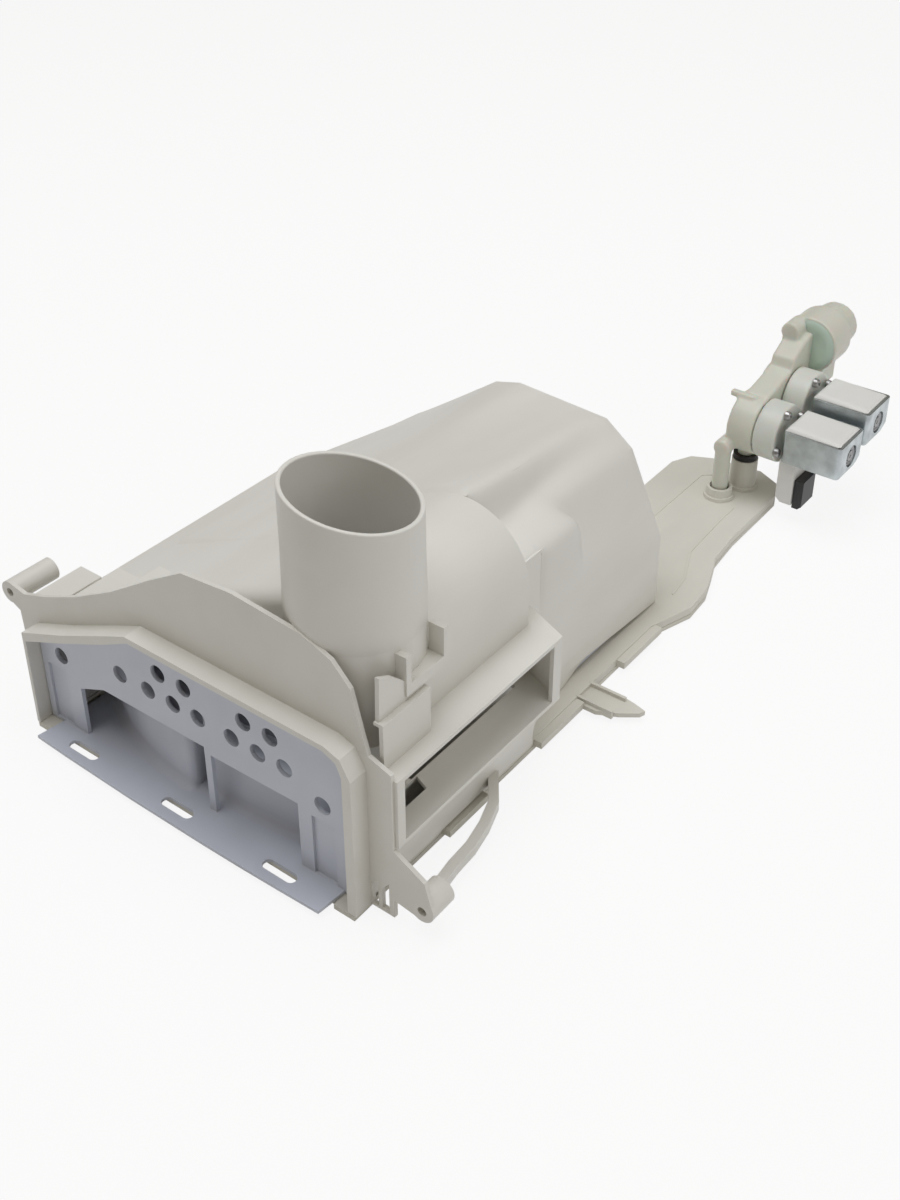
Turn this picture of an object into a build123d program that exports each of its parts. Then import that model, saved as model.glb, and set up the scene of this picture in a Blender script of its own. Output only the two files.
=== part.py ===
"""Washing machine detergent dispenser: housing, drawer, water distributor and double inlet valve.

Millimetres. The assembly lies upside down on the flat outer face of its distributor.
X is across the drawer mouth, +Y runs from the mouth to the inlet valve, +Z points up.
The origin is on that outer face, mid mouth, in the plane of the front of the mounting flange.
"""

import os
from math import cos, radians, sin

from build123d import *

os.makedirs("parts", exist_ok=True)

# Clearances and wall thicknesses
SEAT_GAP = 0.3
WALL = 2.0
THIN_WALL = 1.6

# Distributor: flat outer cover, base above it
COVER_TOP = 2.5
BASE_BOTTOM = COVER_TOP + SEAT_GAP
BASE_TOP = 7.0
BASE_SKIN = 1.8
RIM_WIDTH = 3.0
LID_HALF_WIDTH = 97.0
ARM_TOP_OFFSET = 0.6

# Hopper of the housing
FOOT_Z = BASE_TOP + SEAT_GAP
HOPPER_LEFT = -89.0
HOPPER_RIGHT = 88.0
ROOF_FRONT_Y = 19.0
DOME_REAR_Y = 111.5
HOPPER_MID_Y = 155.0
HOPPER_REAR_Y = 241.0
ROOF_EDGE_Z = 65.0
RIDGE_X = -21.6
RIDGE_Z = 96.0
ROOF_NOSE_R = 6.0
DOME_X = 62.0
DOME_Z = 93.4
DOME_R = 33.8
DOME_TANGENT = (49.31, 124.74)
DOME_MID_DEG = 56.0
LEDGE_Z = 75.0

# Drain spigot
SPIGOT_X = 70.4
SPIGOT_Y = 28.8
SPIGOT_R = 27.5
SPIGOT_ROOT_R = 27.9
SPIGOT_ROOT_TOP = 131.0
SPIGOT_RIM_Z = 175.0
SPIGOT_SLOPE = 0.24

# Mounting flange and collar round the drawer mouth
FLANGE_T = 2.0
COLLAR_DEPTH = 9.36
BOSS_HOLE_R = 2.2
BOSS_LEFT = (-114.9, 64.0)
BOSS_LEFT_R = 5.6
BOSS_LEFT_LEN = 24.0
BOSS_RIGHT = (124.1, 15.5)
BOSS_RIGHT_AXIS = (123.7, 16.4)
BOSS_RIGHT_R = 6.2
BOSS_RIGHT_LEN = 13.6

# Side hood
HOOD_X = 112.0
HOOD_FLOOR_Z = 42.5
HOOD_REAR_Y = 113.5
HOOD_JOIN_Y = 123.0
HOOD_FRAME = 2.0
BRACE_END = (BOSS_RIGHT_AXIS[0] - 4.5, BOSS_RIGHT_LEN - 2.5)

# Bracket and hose clip beside the spigot
BRACKET_X = 104.0
BRACKET_FRONT_Y = 3.6
BRACKET_REAR_Y = 32.4
BRACKET_STEP_Z = 97.2
CLIP_LEFT = 94.8
CLIP_RIGHT = 102.4
CLIP_TOP = 118.0

# Drawer
LIP_BOTTOM = COVER_TOP + SEAT_GAP
LIP_TOP = LIP_BOTTOM + THIN_WALL
PANEL_FRONT_Y = -2.3
PANEL_REAR_Y = -0.3
RAIL_BOTTOM = 7.4
RAIL_TOP = 9.2
TUB_TOP = 54.0
TUB_REAR_Y = 203.0
TUB_STEP_Y = 33.0

# Valve: coil boxes, axes along +X
COIL_X = 98.0
COIL_LEN = 34.0
COIL_DEPTH = 30.0
COIL_HEIGHT = 19.0
YOKE_T = 1.5
FRONT_COIL_Y = 370.0
FRONT_COIL_Z = 50.1
REAR_COIL_Y = 404.0
REAR_COIL_Z = 56.1
BODY_FACE_X = 80.0
DUCT_X = 66.0
CHAMBER_R = 17.0
BONNET_T = 13.6
GUIDE_R = 5.0
PLUNGER_R = 3.9
GUIDE_BORE_R = 3.96
INLET_X = 78.0
INLET_Z = 80.0
BARREL_R = 17.0
BARREL_FRONT_Y = REAR_COIL_Y + CHAMBER_R + 3.0
BARREL_LEN = 19.0
THREAD_START_Y = BARREL_FRONT_Y + BARREL_LEN
THREAD_R = 13.2
THREAD_LEN = 17.0
THREAD_PITCH = 3.4
THREAD_END_Y = THREAD_START_Y + THREAD_LEN
SOCKET_FRONT = (64.6, 352.5)
SOCKET_FRONT_TOP = 14.0
SOCKET_REAR = (70.0, 371.0)
SOCKET_REAR_TOP = 26.0
SOCKET_BORE_R = 5.6


def hopper_form(inset):
    """Solid of the hopper with every face moved inwards by the inset, open at its foot."""
    foot = FOOT_Z - (2 * inset + 1 if inset else 0)
    dome_mid = radians(DOME_MID_DEG)
    with BuildPart() as form:
        with BuildSketch(Plane.XZ.offset(-DOME_REAR_Y)):
            with BuildLine():
                left = Polyline(
                    (HOPPER_LEFT, foot),
                    (HOPPER_LEFT, ROOF_EDGE_Z),
                    (RIDGE_X, RIDGE_Z),
                    DOME_TANGENT,
                )
                dome = ThreePointArc(
                    left @ 1,
                    (DOME_X + DOME_R * cos(dome_mid), DOME_Z + DOME_R * sin(dome_mid)),
                    (DOME_X + DOME_R, DOME_Z),
                )
                Polyline(
                    dome @ 1,
                    (DOME_X + DOME_R, LEDGE_Z),
                    (HOPPER_RIGHT, LEDGE_Z),
                    (HOPPER_RIGHT, foot),
                    (HOPPER_LEFT, foot),
                )
            make_face()
            if inset:
                offset(amount=-inset, kind=Kind.INTERSECTION)
        extrude(amount=DOME_REAR_Y - inset - ROOF_FRONT_Y - inset)
        form.part.position = (0, 0, 0)
    with BuildPart() as whole:
        add(form.part.moved(Location((0, -inset, 0))))
        nose = whole.edges().filter_by(
            lambda e: abs(e.center().Y - ROOF_FRONT_Y - inset) < 0.1
            and e.center().Z > ROOF_EDGE_Z - 2 * WALL
            and e.center().X < DOME_X
        )
        fillet(nose, ROOF_NOSE_R)
        with BuildSketch(Plane.XZ.offset(-ROOF_FRONT_Y - 8)):
            Polygon(
                (HOPPER_LEFT, foot),
                (HOPPER_LEFT, 59),
                (-24, 85.5),
                (84, 85.5),
                (HOPPER_RIGHT, 81.5),
                (HOPPER_RIGHT, foot),
                align=None,
            )
            if inset:
                offset(amount=-inset, kind=Kind.INTERSECTION)
        extrude(amount=ROOF_FRONT_Y + 8 - (FLANGE_T if not inset else -1))
        stations = (
            (DOME_REAR_Y - inset, ROOF_EDGE_Z, (RIDGE_X, RIDGE_Z), 104.7, (60.6, 126.6), (61, 104.5), (88, 100), 99),
            (HOPPER_MID_Y, ROOF_EDGE_Z, (RIDGE_X, 97), 105, (58.3, 119.2), (58.5, 104), (88, 100), 99),
            (HOPPER_REAR_Y - inset, 50, (-15, 103), 107, (52.5, 104), (59, 99), (68.3, 92), 48),
        )
        for near, far in zip(stations[:-1], stations[1:]):
            for y, edge_z, ridge, crown_z, roof_edge, step, fold, wall_top in (near, far):
                with BuildSketch(Plane.XZ.offset(-y)):
                    Polygon(
                        (HOPPER_LEFT, foot),
                        (HOPPER_LEFT, edge_z),
                        ridge,
                        (0, crown_z),
                        roof_edge,
                        step,
                        fold,
                        (HOPPER_RIGHT, wall_top),
                        (HOPPER_RIGHT, foot),
                        align=None,
                    )
                    if inset:
                        offset(amount=-inset, kind=Kind.INTERSECTION)
            loft(ruled=True)
        if inset:
            with BuildSketch(Plane.XZ.offset(-DOME_REAR_Y - inset)):
                Polygon(
                    (HOPPER_LEFT + inset, foot + inset),
                    (HOPPER_LEFT + inset, ROOF_EDGE_Z - 2 * inset),
                    (RIDGE_X, RIDGE_Z - 2 * inset),
                    (DOME_X, RIDGE_Z - 2 * inset),
                    (HOPPER_RIGHT - inset, RIDGE_Z - 2 * inset),
                    (HOPPER_RIGHT - inset, foot + inset),
                    align=None,
                )
            extrude(amount=3 * inset)
        facet = Plane(
            origin=(HOPPER_RIGHT - 0.905 * inset, 166.8, ROOF_EDGE_Z - 0.415 * inset),
            x_dir=(0, 0.977, -0.2135),
            z_dir=(0.905, 0.0906, 0.4148),
        )
        with BuildSketch(facet):
            with BuildLine():
                jog = ThreePointArc((0, 0), (-7, 19), (-19, 34.6))
                Polyline(jog @ 1, (-19, 60), (95, 60), (95, -9), (3, -9), jog @ 0)
            make_face()
        extrude(amount=60, mode=Mode.SUBTRACT)
    return whole.part


# Outlines seen from the front, as (X, Z)
COLLAR_INNER = [
    (-95.7, BASE_BOTTOM),
    (-95.7, 50.6),
    (-69.7, 61.6),
    (-39.9, 75.1),
    (-23.4, 83.6),
    (84.5, 83.9),
    (91, 81),
    (93.5, 75),
    (93.5, BASE_BOTTOM),
]
COLLAR_OUTER = [
    (-97.6, BASE_BOTTOM),
    (-97.6, 54.6),
    (-68.6, 66.5),
    (-40.3, 79.6),
    (-24.5, 86.6),
    (85, 86.6),
    (93, 84),
    (98, 75),
    (98, BASE_BOTTOM),
]
FLANGE_OUTLINE = [
    (-108.5, BASE_BOTTOM),
    (-108.8, 45.6),
    (-109.4, 56.2),
    (-113.6, 58.3),
    (-114.9, 69),
    (-105.9, 66.8),
    (-88.6, 72.9),
    (-66.5, 82.7),
    (-41.6, 96.4),
    (-14.5, 114.5),
    (4.4, 126),
    (32, 128.6),
    (68, 125.7),
    (82.5, 120.5),
    (91.7, 111),
    (95, 98),
    (99.2, 82.2),
    (110.2, 78.6),
    (110.2, BASE_BOTTOM),
]

# Housing: hopper, flange, collar, drain spigot, hood, bosses and brace in one moulding
with BuildPart() as housing:
    add(hopper_form(0))
    with BuildSketch(Plane.XY.offset(LEDGE_Z)):
        with Locations((SPIGOT_X, SPIGOT_Y)):
            Circle(SPIGOT_R)
    extrude(amount=SPIGOT_RIM_Z + 15 - LEDGE_Z)
    with BuildSketch(Plane.XY.offset(LEDGE_Z)):
        with Locations((SPIGOT_X, SPIGOT_Y)):
            Circle(SPIGOT_ROOT_R)
    extrude(amount=SPIGOT_ROOT_TOP - LEDGE_Z)
    with BuildSketch(Plane.XZ.offset(-FLANGE_T)):
        Polygon(*FLANGE_OUTLINE, align=None)
    extrude(amount=FLANGE_T)
    # Blocks behind the flange on the left
    for x, top, width in ((-92, 69, 14), (-64, 80, 14), (-36, 93, 14)):
        with BuildSketch(Plane.XZ.offset(-29)):
            with Locations((x, (top + 50) / 2)):
                Rectangle(width, top - 50)
        extrude(amount=29 - FLANGE_T)
    # Upright rib in the trench between flange and roof
    with BuildSketch(Plane.XZ.offset(-ROOF_FRONT_Y - 1)):
        with Locations((28, 96)):
            Rectangle(THIN_WALL, 22)
    extrude(amount=ROOF_FRONT_Y + 1 - FLANGE_T)
    add(hopper_form(WALL), mode=Mode.SUBTRACT)
    with BuildSketch(Plane.XZ.offset(-FLANGE_T)):
        with Locations(((HOPPER_LEFT + HOPPER_RIGHT) / 2, FOOT_Z)):
            Rectangle(HOPPER_RIGHT - HOPPER_LEFT - 2 * WALL, 10)
    extrude(amount=FLANGE_T, mode=Mode.SUBTRACT)
    with BuildSketch(Plane.XY.offset(LEDGE_Z + WALL)):
        with Locations((SPIGOT_X, SPIGOT_Y)):
            Circle(SPIGOT_R - WALL)
    extrude(amount=SPIGOT_RIM_Z + 20 - LEDGE_Z, mode=Mode.SUBTRACT)
    rim_plane = Plane(
        origin=(SPIGOT_X, SPIGOT_Y, SPIGOT_RIM_Z),
        z_dir=(0.8 * SPIGOT_SLOPE, 0.6 * SPIGOT_SLOPE, 1),
    )
    with BuildSketch(rim_plane):
        Rectangle(90, 90)
    extrude(amount=40, mode=Mode.SUBTRACT)
    rim_edges = housing.edges().filter_by(lambda e: e.center().Z > SPIGOT_RIM_Z - 12 and e.length > 100)
    fillet(rim_edges, 0.7)
    # Collar round the mouth
    with BuildSketch(Plane.XZ):
        Polygon(*COLLAR_OUTER, align=None)
        Polygon(*COLLAR_INNER, align=None, mode=Mode.SUBTRACT)
    extrude(amount=COLLAR_DEPTH)
    # Screw bosses
    with BuildSketch(Plane.XZ.offset(-BOSS_LEFT_LEN)):
        with Locations(BOSS_LEFT):
            Circle(BOSS_LEFT_R)
    extrude(amount=BOSS_LEFT_LEN)
    with BuildSketch(Plane.XZ.offset(-FLANGE_T)):
        Polygon((-109, 56), (-102, 58), (-102, 67), (-112, 69), align=None)
    extrude(amount=FLANGE_T)
    with BuildSketch(Plane.XZ.offset(-BOSS_RIGHT_LEN)):
        with Locations(BOSS_RIGHT_AXIS):
            Circle(BOSS_RIGHT_R)
    extrude(amount=BOSS_RIGHT_LEN)
    with BuildSketch(Plane.XZ.offset(-FLANGE_T)):
        Polygon((109.5, 40), (125.5, 31.5), (129.5, 18), (128, 12.6), (121.5, 11), (109.5, 12.6), align=None)
    extrude(amount=FLANGE_T)
    with BuildSketch(Plane.XZ.offset(-BOSS_LEFT_LEN)):
        with Locations(BOSS_LEFT, BOSS_RIGHT):
            Circle(BOSS_HOLE_R)
    extrude(amount=BOSS_LEFT_LEN, mode=Mode.SUBTRACT)
    # Upright pockets at the foot of the flange on the right
    with BuildSketch(Plane.XZ.offset(-FLANGE_T)):
        Polygon((98.8, 4), (98.8, 15.5), (102, 18.5), (102, 4), align=None)
        Polygon((104, 4.6), (104, 15), (107.6, 20), (107.6, 4.6), align=None)
    extrude(amount=FLANGE_T, mode=Mode.SUBTRACT)
    # Hood: ledge, floor, outer window frame, oblique rear wall
    hood_plan = [
        (HOPPER_RIGHT - 0.5, FLANGE_T),
        (HOOD_X, FLANGE_T),
        (HOOD_X, HOOD_REAR_Y),
        (HOPPER_RIGHT + 1, HOOD_JOIN_Y),
        (HOPPER_RIGHT - 0.5, HOOD_JOIN_Y),
    ]
    for top in (LEDGE_Z, HOOD_FLOOR_Z):
        with BuildSketch(Plane.XY.offset(top - HOOD_FRAME)):
            Polygon(*hood_plan, align=None)
        extrude(amount=HOOD_FRAME)
    with BuildSketch(Plane.XY.offset(HOOD_FLOOR_Z - HOOD_FRAME)):
        with Locations((91.5, 70)):
            Rectangle(3, 74)
        Polygon((93.5, 3), (93.5, 36), (101, 33), (101, 3), align=None)
    extrude(amount=HOOD_FRAME, mode=Mode.SUBTRACT)
    with BuildSketch(Plane.XY.offset(HOOD_FLOOR_Z - HOOD_FRAME)):
        Polygon(
            (HOOD_X, HOOD_REAR_Y - 2.5),
            (HOOD_X, HOOD_REAR_Y),
            (HOPPER_RIGHT + 1, HOOD_JOIN_Y),
            (HOPPER_RIGHT - 0.5, HOOD_JOIN_Y),
            (HOPPER_RIGHT - 0.5, HOOD_JOIN_Y - 2),
            align=None,
        )
        with Locations((HOOD_X - HOOD_FRAME / 2, FLANGE_T + 2)):
            Rectangle(HOOD_FRAME, 4)
        with Locations((HOOD_X - HOOD_FRAME / 2, HOOD_REAR_Y - 3)):
            Rectangle(HOOD_FRAME, 6)
    extrude(amount=LEDGE_Z - HOOD_FLOOR_Z + HOOD_FRAME)
    with BuildSketch(Plane.XZ.offset(-FLANGE_T - 2)):
        with Locations(((107 + HOOD_X) / 2, (LEDGE_Z + HOOD_FLOOR_Z) / 2 - 1)):
            Rectangle(HOOD_X - 107, LEDGE_Z - HOOD_FLOOR_Z + 2)
    extrude(amount=2.5)
    # Concave skirt under the hood
    with BuildSketch(Plane.XZ.offset(-HOOD_REAR_Y)):
        with BuildLine():
            outside = ThreePointArc((HOOD_X, HOOD_FLOOR_Z - 1), (102.5, 28), (98.8, FOOT_Z))
            inside = ThreePointArc((HOOD_X - 2.2, HOOD_FLOOR_Z - 1), (100.3, 28), (96.8, FOOT_Z))
            Line(outside @ 0, inside @ 0)
            Line(outside @ 1, inside @ 1)
        make_face()
    extrude(amount=HOOD_REAR_Y - FLANGE_T)
    # Stepped bracket beside the drain spigot, open towards the flange
    with BuildSketch(Plane.XY.offset(LEDGE_Z - 1)):
        with Locations((BRACKET_X - WALL / 2, (BRACKET_FRONT_Y + BRACKET_REAR_Y) / 2)):
            Rectangle(WALL, BRACKET_REAR_Y - BRACKET_FRONT_Y)
        with Locations((BRACKET_X - 7, BRACKET_REAR_Y - WALL / 2)):
            Rectangle(14, WALL)
    extrude(amount=BRACKET_STEP_Z - LEDGE_Z + 1)
    with BuildSketch(Plane.XY.offset(BRACKET_STEP_Z - 1.5)):
        with Locations((BRACKET_X - 2.3, (BRACKET_FRONT_Y + BRACKET_REAR_Y) / 2)):
            Rectangle(4.6, BRACKET_REAR_Y - BRACKET_FRONT_Y)
    extrude(amount=1.5)
    with BuildSketch(Plane.YZ.offset(BRACKET_X - 4.6)):
        Polygon(
            (BRACKET_FRONT_Y + 1, BRACKET_STEP_Z - 1),
            (BRACKET_FRONT_Y + 1.6, 117.5),
            (13, 113.4),
            (20.5, 106.4),
            (BRACKET_REAR_Y, 103),
            (BRACKET_REAR_Y, BRACKET_STEP_Z - 1),
            align=None,
        )
    extrude(amount=WALL)
    # Hose clip: two tabs with a shelf between them
    with BuildSketch(Plane.YZ.offset(CLIP_LEFT)):
        Polygon(
            (20, 99.5),
            (20, CLIP_TOP),
            (23, CLIP_TOP),
            (23, 104.5),
            (43, 104.5),
            (43, CLIP_TOP),
            (45.4, CLIP_TOP),
            (45.4, 103.5),
            (41.5, 99.5),
            align=None,
        )
    extrude(amount=CLIP_RIGHT - CLIP_LEFT)
    with BuildSketch(Plane.XY.offset(LEDGE_Z + WALL)):
        with Locations((SPIGOT_X, SPIGOT_Y)):
            Circle(SPIGOT_R - WALL)
    extrude(amount=60, mode=Mode.SUBTRACT)
    # Brace from the skirt to the right screw boss
    with BuildSketch(Plane.XY.offset(FOOT_Z)):
        with BuildLine():
            brace = Polyline((98, 84), (109, 69), (113.4, 56), (116, 43), (116.6, 30), BRACE_END)
        trace(brace, 4.6)
    extrude(amount=5)
housing.part.label = "housing"
export_step(housing.part, "parts/housing.step")

# Plan of the distributor as (X, Y), anticlockwise from its front right corner
LID_REAR = [
    (LID_HALF_WIDTH, 221.8),
    (105.3, 248),
    (104, 266.7),
    (98.9, 281.6),
    (93.7, 295.5),
    (91.5, 320),
    (91.1, 372),
    (86, 384),
    (72, 391),
    (42, 387.3),
    (30.4, 381.6),
    (24.4, 369),
    (25, 320),
    (19, 282),
    (4, 258),
    (-20, 249),
    (-86, 247),
    (-LID_HALF_WIDTH, 236),
]
BASE_FRONT_Y = 8.0
NOTCH_REAR_Y = 36.0
COVER_SETBACK = 1.8
NOTCH_HALF = 86.5
PEG_PLAN = [(-1, 152), (11, 152), (21, 157), (29, 163), (30, 166), (24, 167.5), (15, 169), (-1, 169)]

# Distributor cover: flat outer plate with the walls of the water channels
with BuildPart() as distributor_cover:
    with BuildSketch():
        Polygon((LID_HALF_WIDTH, -COLLAR_DEPTH), *LID_REAR, (-LID_HALF_WIDTH, -COLLAR_DEPTH), align=None)
        with Locations((-1.5, -COLLAR_DEPTH)):
            Rectangle(175, 2 * COVER_SETBACK, mode=Mode.SUBTRACT)
    extrude(amount=COVER_TOP)
    with BuildSketch(Plane.XY.offset(COVER_TOP)):
        with BuildLine():
            channel_a = Polyline((38, 60), (38, 262), (56, 300), (56, 362), (73, 362), (80, 340))
        trace(channel_a, 1.4)
        with BuildLine():
            channel_b = Polyline((-70, 60), (-70, 215), (20, 240), (44, 280), (44, 378), (76, 380))
        trace(channel_b, 1.4)
    extrude(amount=2.2)
distributor_cover.part.label = "distributor_cover"
export_step(distributor_cover.part, "parts/distributor_cover.step")

# Distributor base: skin with spray holes, rim, sockets for the valve, clips and locating peg
with BuildPart() as distributor_base:
    with BuildSketch(Plane.XY.offset(BASE_BOTTOM)):
        Polygon((LID_HALF_WIDTH, BASE_FRONT_Y), *LID_REAR, (-LID_HALF_WIDTH, BASE_FRONT_Y), align=None)
    extrude(amount=BASE_TOP - BASE_BOTTOM)
    with BuildSketch(Plane.XY.offset(BASE_BOTTOM)):
        Polygon((LID_HALF_WIDTH, BASE_FRONT_Y), *LID_REAR, (-LID_HALF_WIDTH, BASE_FRONT_Y), align=None)
        offset(amount=-RIM_WIDTH, kind=Kind.INTERSECTION)
    extrude(amount=BASE_TOP - BASE_BOTTOM - BASE_SKIN, mode=Mode.SUBTRACT)
    with BuildSketch(Plane.XY.offset(BASE_BOTTOM)):
        with Locations((0, NOTCH_REAR_Y - 7)):
            Rectangle(2 * NOTCH_HALF + 2 * THIN_WALL, 18)
    extrude(amount=BASE_TOP - BASE_BOTTOM)
    with BuildSketch(Plane.XY.offset(BASE_BOTTOM)):
        with Locations((0, (BASE_FRONT_Y + NOTCH_REAR_Y) / 2 - 1)):
            Rectangle(2 * NOTCH_HALF, NOTCH_REAR_Y - BASE_FRONT_Y + 2)
    extrude(amount=BASE_TOP - BASE_BOTTOM, mode=Mode.SUBTRACT)
    # Clip lugs along the right edge, locating peg with ribs
    with BuildSketch(Plane.XY.offset(BASE_BOTTOM)):
        for y in (62, 135, 207):
            with Locations((LID_HALF_WIDTH + 2, y)):
                Rectangle(5, 36 if y > 62 else 28)
    extrude(amount=3.6)
    with BuildSketch(Plane.XY.offset(BASE_BOTTOM)):
        Polygon(*[(LID_HALF_WIDTH + x, y) for x, y in PEG_PLAN], align=None)
    extrude(amount=2.4)
    with BuildSketch(Plane.XY.offset(BASE_BOTTOM)):
        for y in (154.5, 166.5):
            with Locations((LID_HALF_WIDTH + 9, y)):
                Rectangle(20, 1.6)
    extrude(amount=4.4)
    # Raised outlines of the water channels on the arm
    with BuildSketch(Plane.XY.offset(BASE_TOP - 0.2)):
        with BuildLine():
            contour_a = Polyline((38, 252), (40, 275), (46, 300), (46, 366), (56, 374))
        trace(contour_a, 1.2)
        with BuildLine():
            contour_b = Polyline((92, 252), (90, 268), (80, 292), (78, 330), (78, 345))
        trace(contour_b, 1.2)
    extrude(amount=ARM_TOP_OFFSET)
    # Sockets
    for (x, y), top, outer in ((SOCKET_FRONT, SOCKET_FRONT_TOP, 7.4), (SOCKET_REAR, SOCKET_REAR_TOP, 7.5)):
        with BuildSketch(Plane.XY.offset(BASE_TOP - 1)):
            with Locations((x, y)):
                Circle(outer + 1.3)
        extrude(amount=3.2)
        with BuildSketch(Plane.XY.offset(BASE_TOP - 1)):
            with Locations((x, y)):
                Circle(outer)
        extrude(amount=top - BASE_TOP + 1)
        with BuildSketch(Plane.XY.offset(BASE_TOP + 1)):
            with Locations((x, y)):
                Circle(SOCKET_BORE_R)
        extrude(amount=top, mode=Mode.SUBTRACT)
        with BuildSketch(Plane.XY.offset(BASE_BOTTOM)):
            with Locations((x, y)):
                Circle(4)
        extrude(amount=20, mode=Mode.SUBTRACT)
    # Spray holes over the three compartments
    with BuildSketch(Plane.XY.offset(BASE_BOTTOM)):
        with Locations((-36, 120), (30, 120), (66, 120)):
            with GridLocations(14, 26, 2, 4):
                Circle(1.6)
    extrude(amount=BASE_TOP, mode=Mode.SUBTRACT)
distributor_base.part.label = "distributor_base"
export_step(distributor_base.part, "parts/distributor_base.step")

# Drawer body: perforated front, lip with slots and three open compartments
PANEL_OUTLINE = [
    (-95.3, LIP_BOTTOM),
    (-95.3, 50.2),
    (-69.6, 61.1),
    (-39.8, 74.6),
    (-23.4, 83.1),
    (84, 83.4),
    (90.4, 80.4),
    (93.1, 74),
    (93.1, LIP_BOTTOM),
]
MAIN_PLAN = ((-82, 25.5), (-43.5, 8.1), (-5, 2.2))
SIDE_PLAN = ((0, 6.7), (41, 8.8), (82, 16.4))
DIVIDER_X = 47.0
SIPHON_X = (SIDE_PLAN[0][0] + DIVIDER_X) / 2
SIPHON_Y = 175.0
CAP_WIDTH = DIVIDER_X - SIDE_PLAN[0][0] - 3.2
with BuildPart() as drawer_body:
    with BuildSketch(Plane.XZ.offset(-PANEL_REAR_Y)):
        Polygon(*PANEL_OUTLINE, align=None)
        with BuildLine():
            Polyline((-70, 3.6), (-70, 31.4), (-53.3, 38.8), (9.3, 39.8), (9.3, 3.6), (-70, 3.6))
        make_face(mode=Mode.SUBTRACT)
        with BuildLine():
            Polyline((13, 3.6), (13, 37), (62.5, 38.7), (62.5, 3.6), (13, 3.6))
        make_face(mode=Mode.SUBTRACT)
        with Locations(
            (-80.7, 44.9), (76.2, 45.3), (-40.2, 54.4), (-14.9, 67.1), (0.4, 67), (-22.6, 54.4), (-7.4, 54.5),
            (7.4, 54.5), (34.6, 66.7), (49.4, 66.7), (26.9, 54.3), (41.7, 54.1), (56.3, 54.1),
        ):
            Circle(4.3, mode=Mode.SUBTRACT)
    extrude(amount=PANEL_REAR_Y - PANEL_FRONT_Y)
    # Pockets in the side pillars
    with BuildSketch(Plane.XZ.offset(-PANEL_FRONT_Y - 1.3)):
        with Locations((-85.3, 20.5), (76, 20.5)):
            Rectangle(12.4, 32)
    extrude(amount=3, mode=Mode.SUBTRACT)
    # Lip
    with BuildSketch(Plane.XY.offset(LIP_BOTTOM)):
        with BuildLine():
            bow = ThreePointArc((-87.9, -17.2), (0, -18.8), (84.6, -17.2))
            Polyline(bow @ 1, (86, -2), (86, TUB_STEP_Y), (-86, TUB_STEP_Y), (-86, -2), bow @ 0)
        make_face()
        with Locations((-63, -10.7), (-2.6, -10.7), (57.7, -10.7)):
            SlotOverall(18, 5.4, mode=Mode.SUBTRACT)
    extrude(amount=THIN_WALL)
    # Rails behind the lip
    with BuildSketch(Plane.XY.offset(RAIL_BOTTOM)):
        with Locations((0, (TUB_STEP_Y - THIN_WALL + TUB_REAR_Y) / 2)):
            Rectangle(171, TUB_REAR_Y - TUB_STEP_Y + THIN_WALL)
    extrude(amount=RAIL_TOP - RAIL_BOTTOM)
    with BuildSketch(Plane.XY.offset(LIP_BOTTOM)):
        with Locations((0, TUB_STEP_Y - THIN_WALL / 2)):
            Rectangle(171, THIN_WALL)
    extrude(amount=RAIL_TOP - LIP_BOTTOM)
    # Outer walls of the compartments
    for foot, front_only in ((LIP_BOTTOM, True), (RAIL_BOTTOM, False)):
        with BuildSketch(Plane.XY.offset(foot)):
            for start, middle, end in (MAIN_PLAN, SIDE_PLAN):
                with BuildLine():
                    face = ThreePointArc(start, middle, end)
                    Polyline(face @ 1, (end[0], TUB_REAR_Y), (start[0], TUB_REAR_Y), face @ 0)
                make_face()
            if front_only:
                with Locations((0, TUB_STEP_Y + 200)):
                    Rectangle(400, 400, mode=Mode.SUBTRACT)
        extrude(amount=TUB_TOP - foot)
    corners = drawer_body.edges().filter_by(Axis.Z).filter_by(
        lambda e: abs(e.center().X - MAIN_PLAN[2][0]) < 0.1 and e.center().Y < TUB_STEP_Y
    )
    fillet(corners, 4)
    with BuildSketch(Plane.XY.offset(LIP_BOTTOM)):
        for start, middle, end in (MAIN_PLAN, SIDE_PLAN):
            with BuildLine():
                face = ThreePointArc(
                    (start[0] + THIN_WALL, start[1] + THIN_WALL),
                    (middle[0], middle[1] + THIN_WALL),
                    (end[0] - THIN_WALL, end[1] + 2 * THIN_WALL),
                )
                Polyline(
                    face @ 1,
                    (end[0] - THIN_WALL, TUB_REAR_Y - THIN_WALL),
                    (start[0] + THIN_WALL, TUB_REAR_Y - THIN_WALL),
                    face @ 0,
                )
            make_face()
        with Locations((DIVIDER_X, TUB_REAR_Y / 2)):
            Rectangle(THIN_WALL, TUB_REAR_Y + 20, mode=Mode.SUBTRACT)
    extrude(amount=TUB_TOP - THIN_WALL - LIP_BOTTOM, mode=Mode.SUBTRACT)
    # Ledges and standpipe of the softener siphon
    with BuildSketch(Plane.XY.offset(14)):
        with Locations((SIPHON_X - CAP_WIDTH / 2 + 1, 165), (SIPHON_X + CAP_WIDTH / 2 - 1, 165)):
            Rectangle(4, 60)
    extrude(amount=2)
    with BuildSketch(Plane.XY.offset(18)):
        with Locations((SIPHON_X, SIPHON_Y)):
            Circle(2.8)
    extrude(amount=TUB_TOP - 18)
    with BuildSketch(Plane.XY.offset(18)):
        with Locations((SIPHON_X, SIPHON_Y)):
            Circle(1.6)
    extrude(amount=TUB_TOP, mode=Mode.SUBTRACT)
drawer_body.part.label = "drawer_body"
export_step(drawer_body.part, "parts/drawer_body.step")

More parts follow.
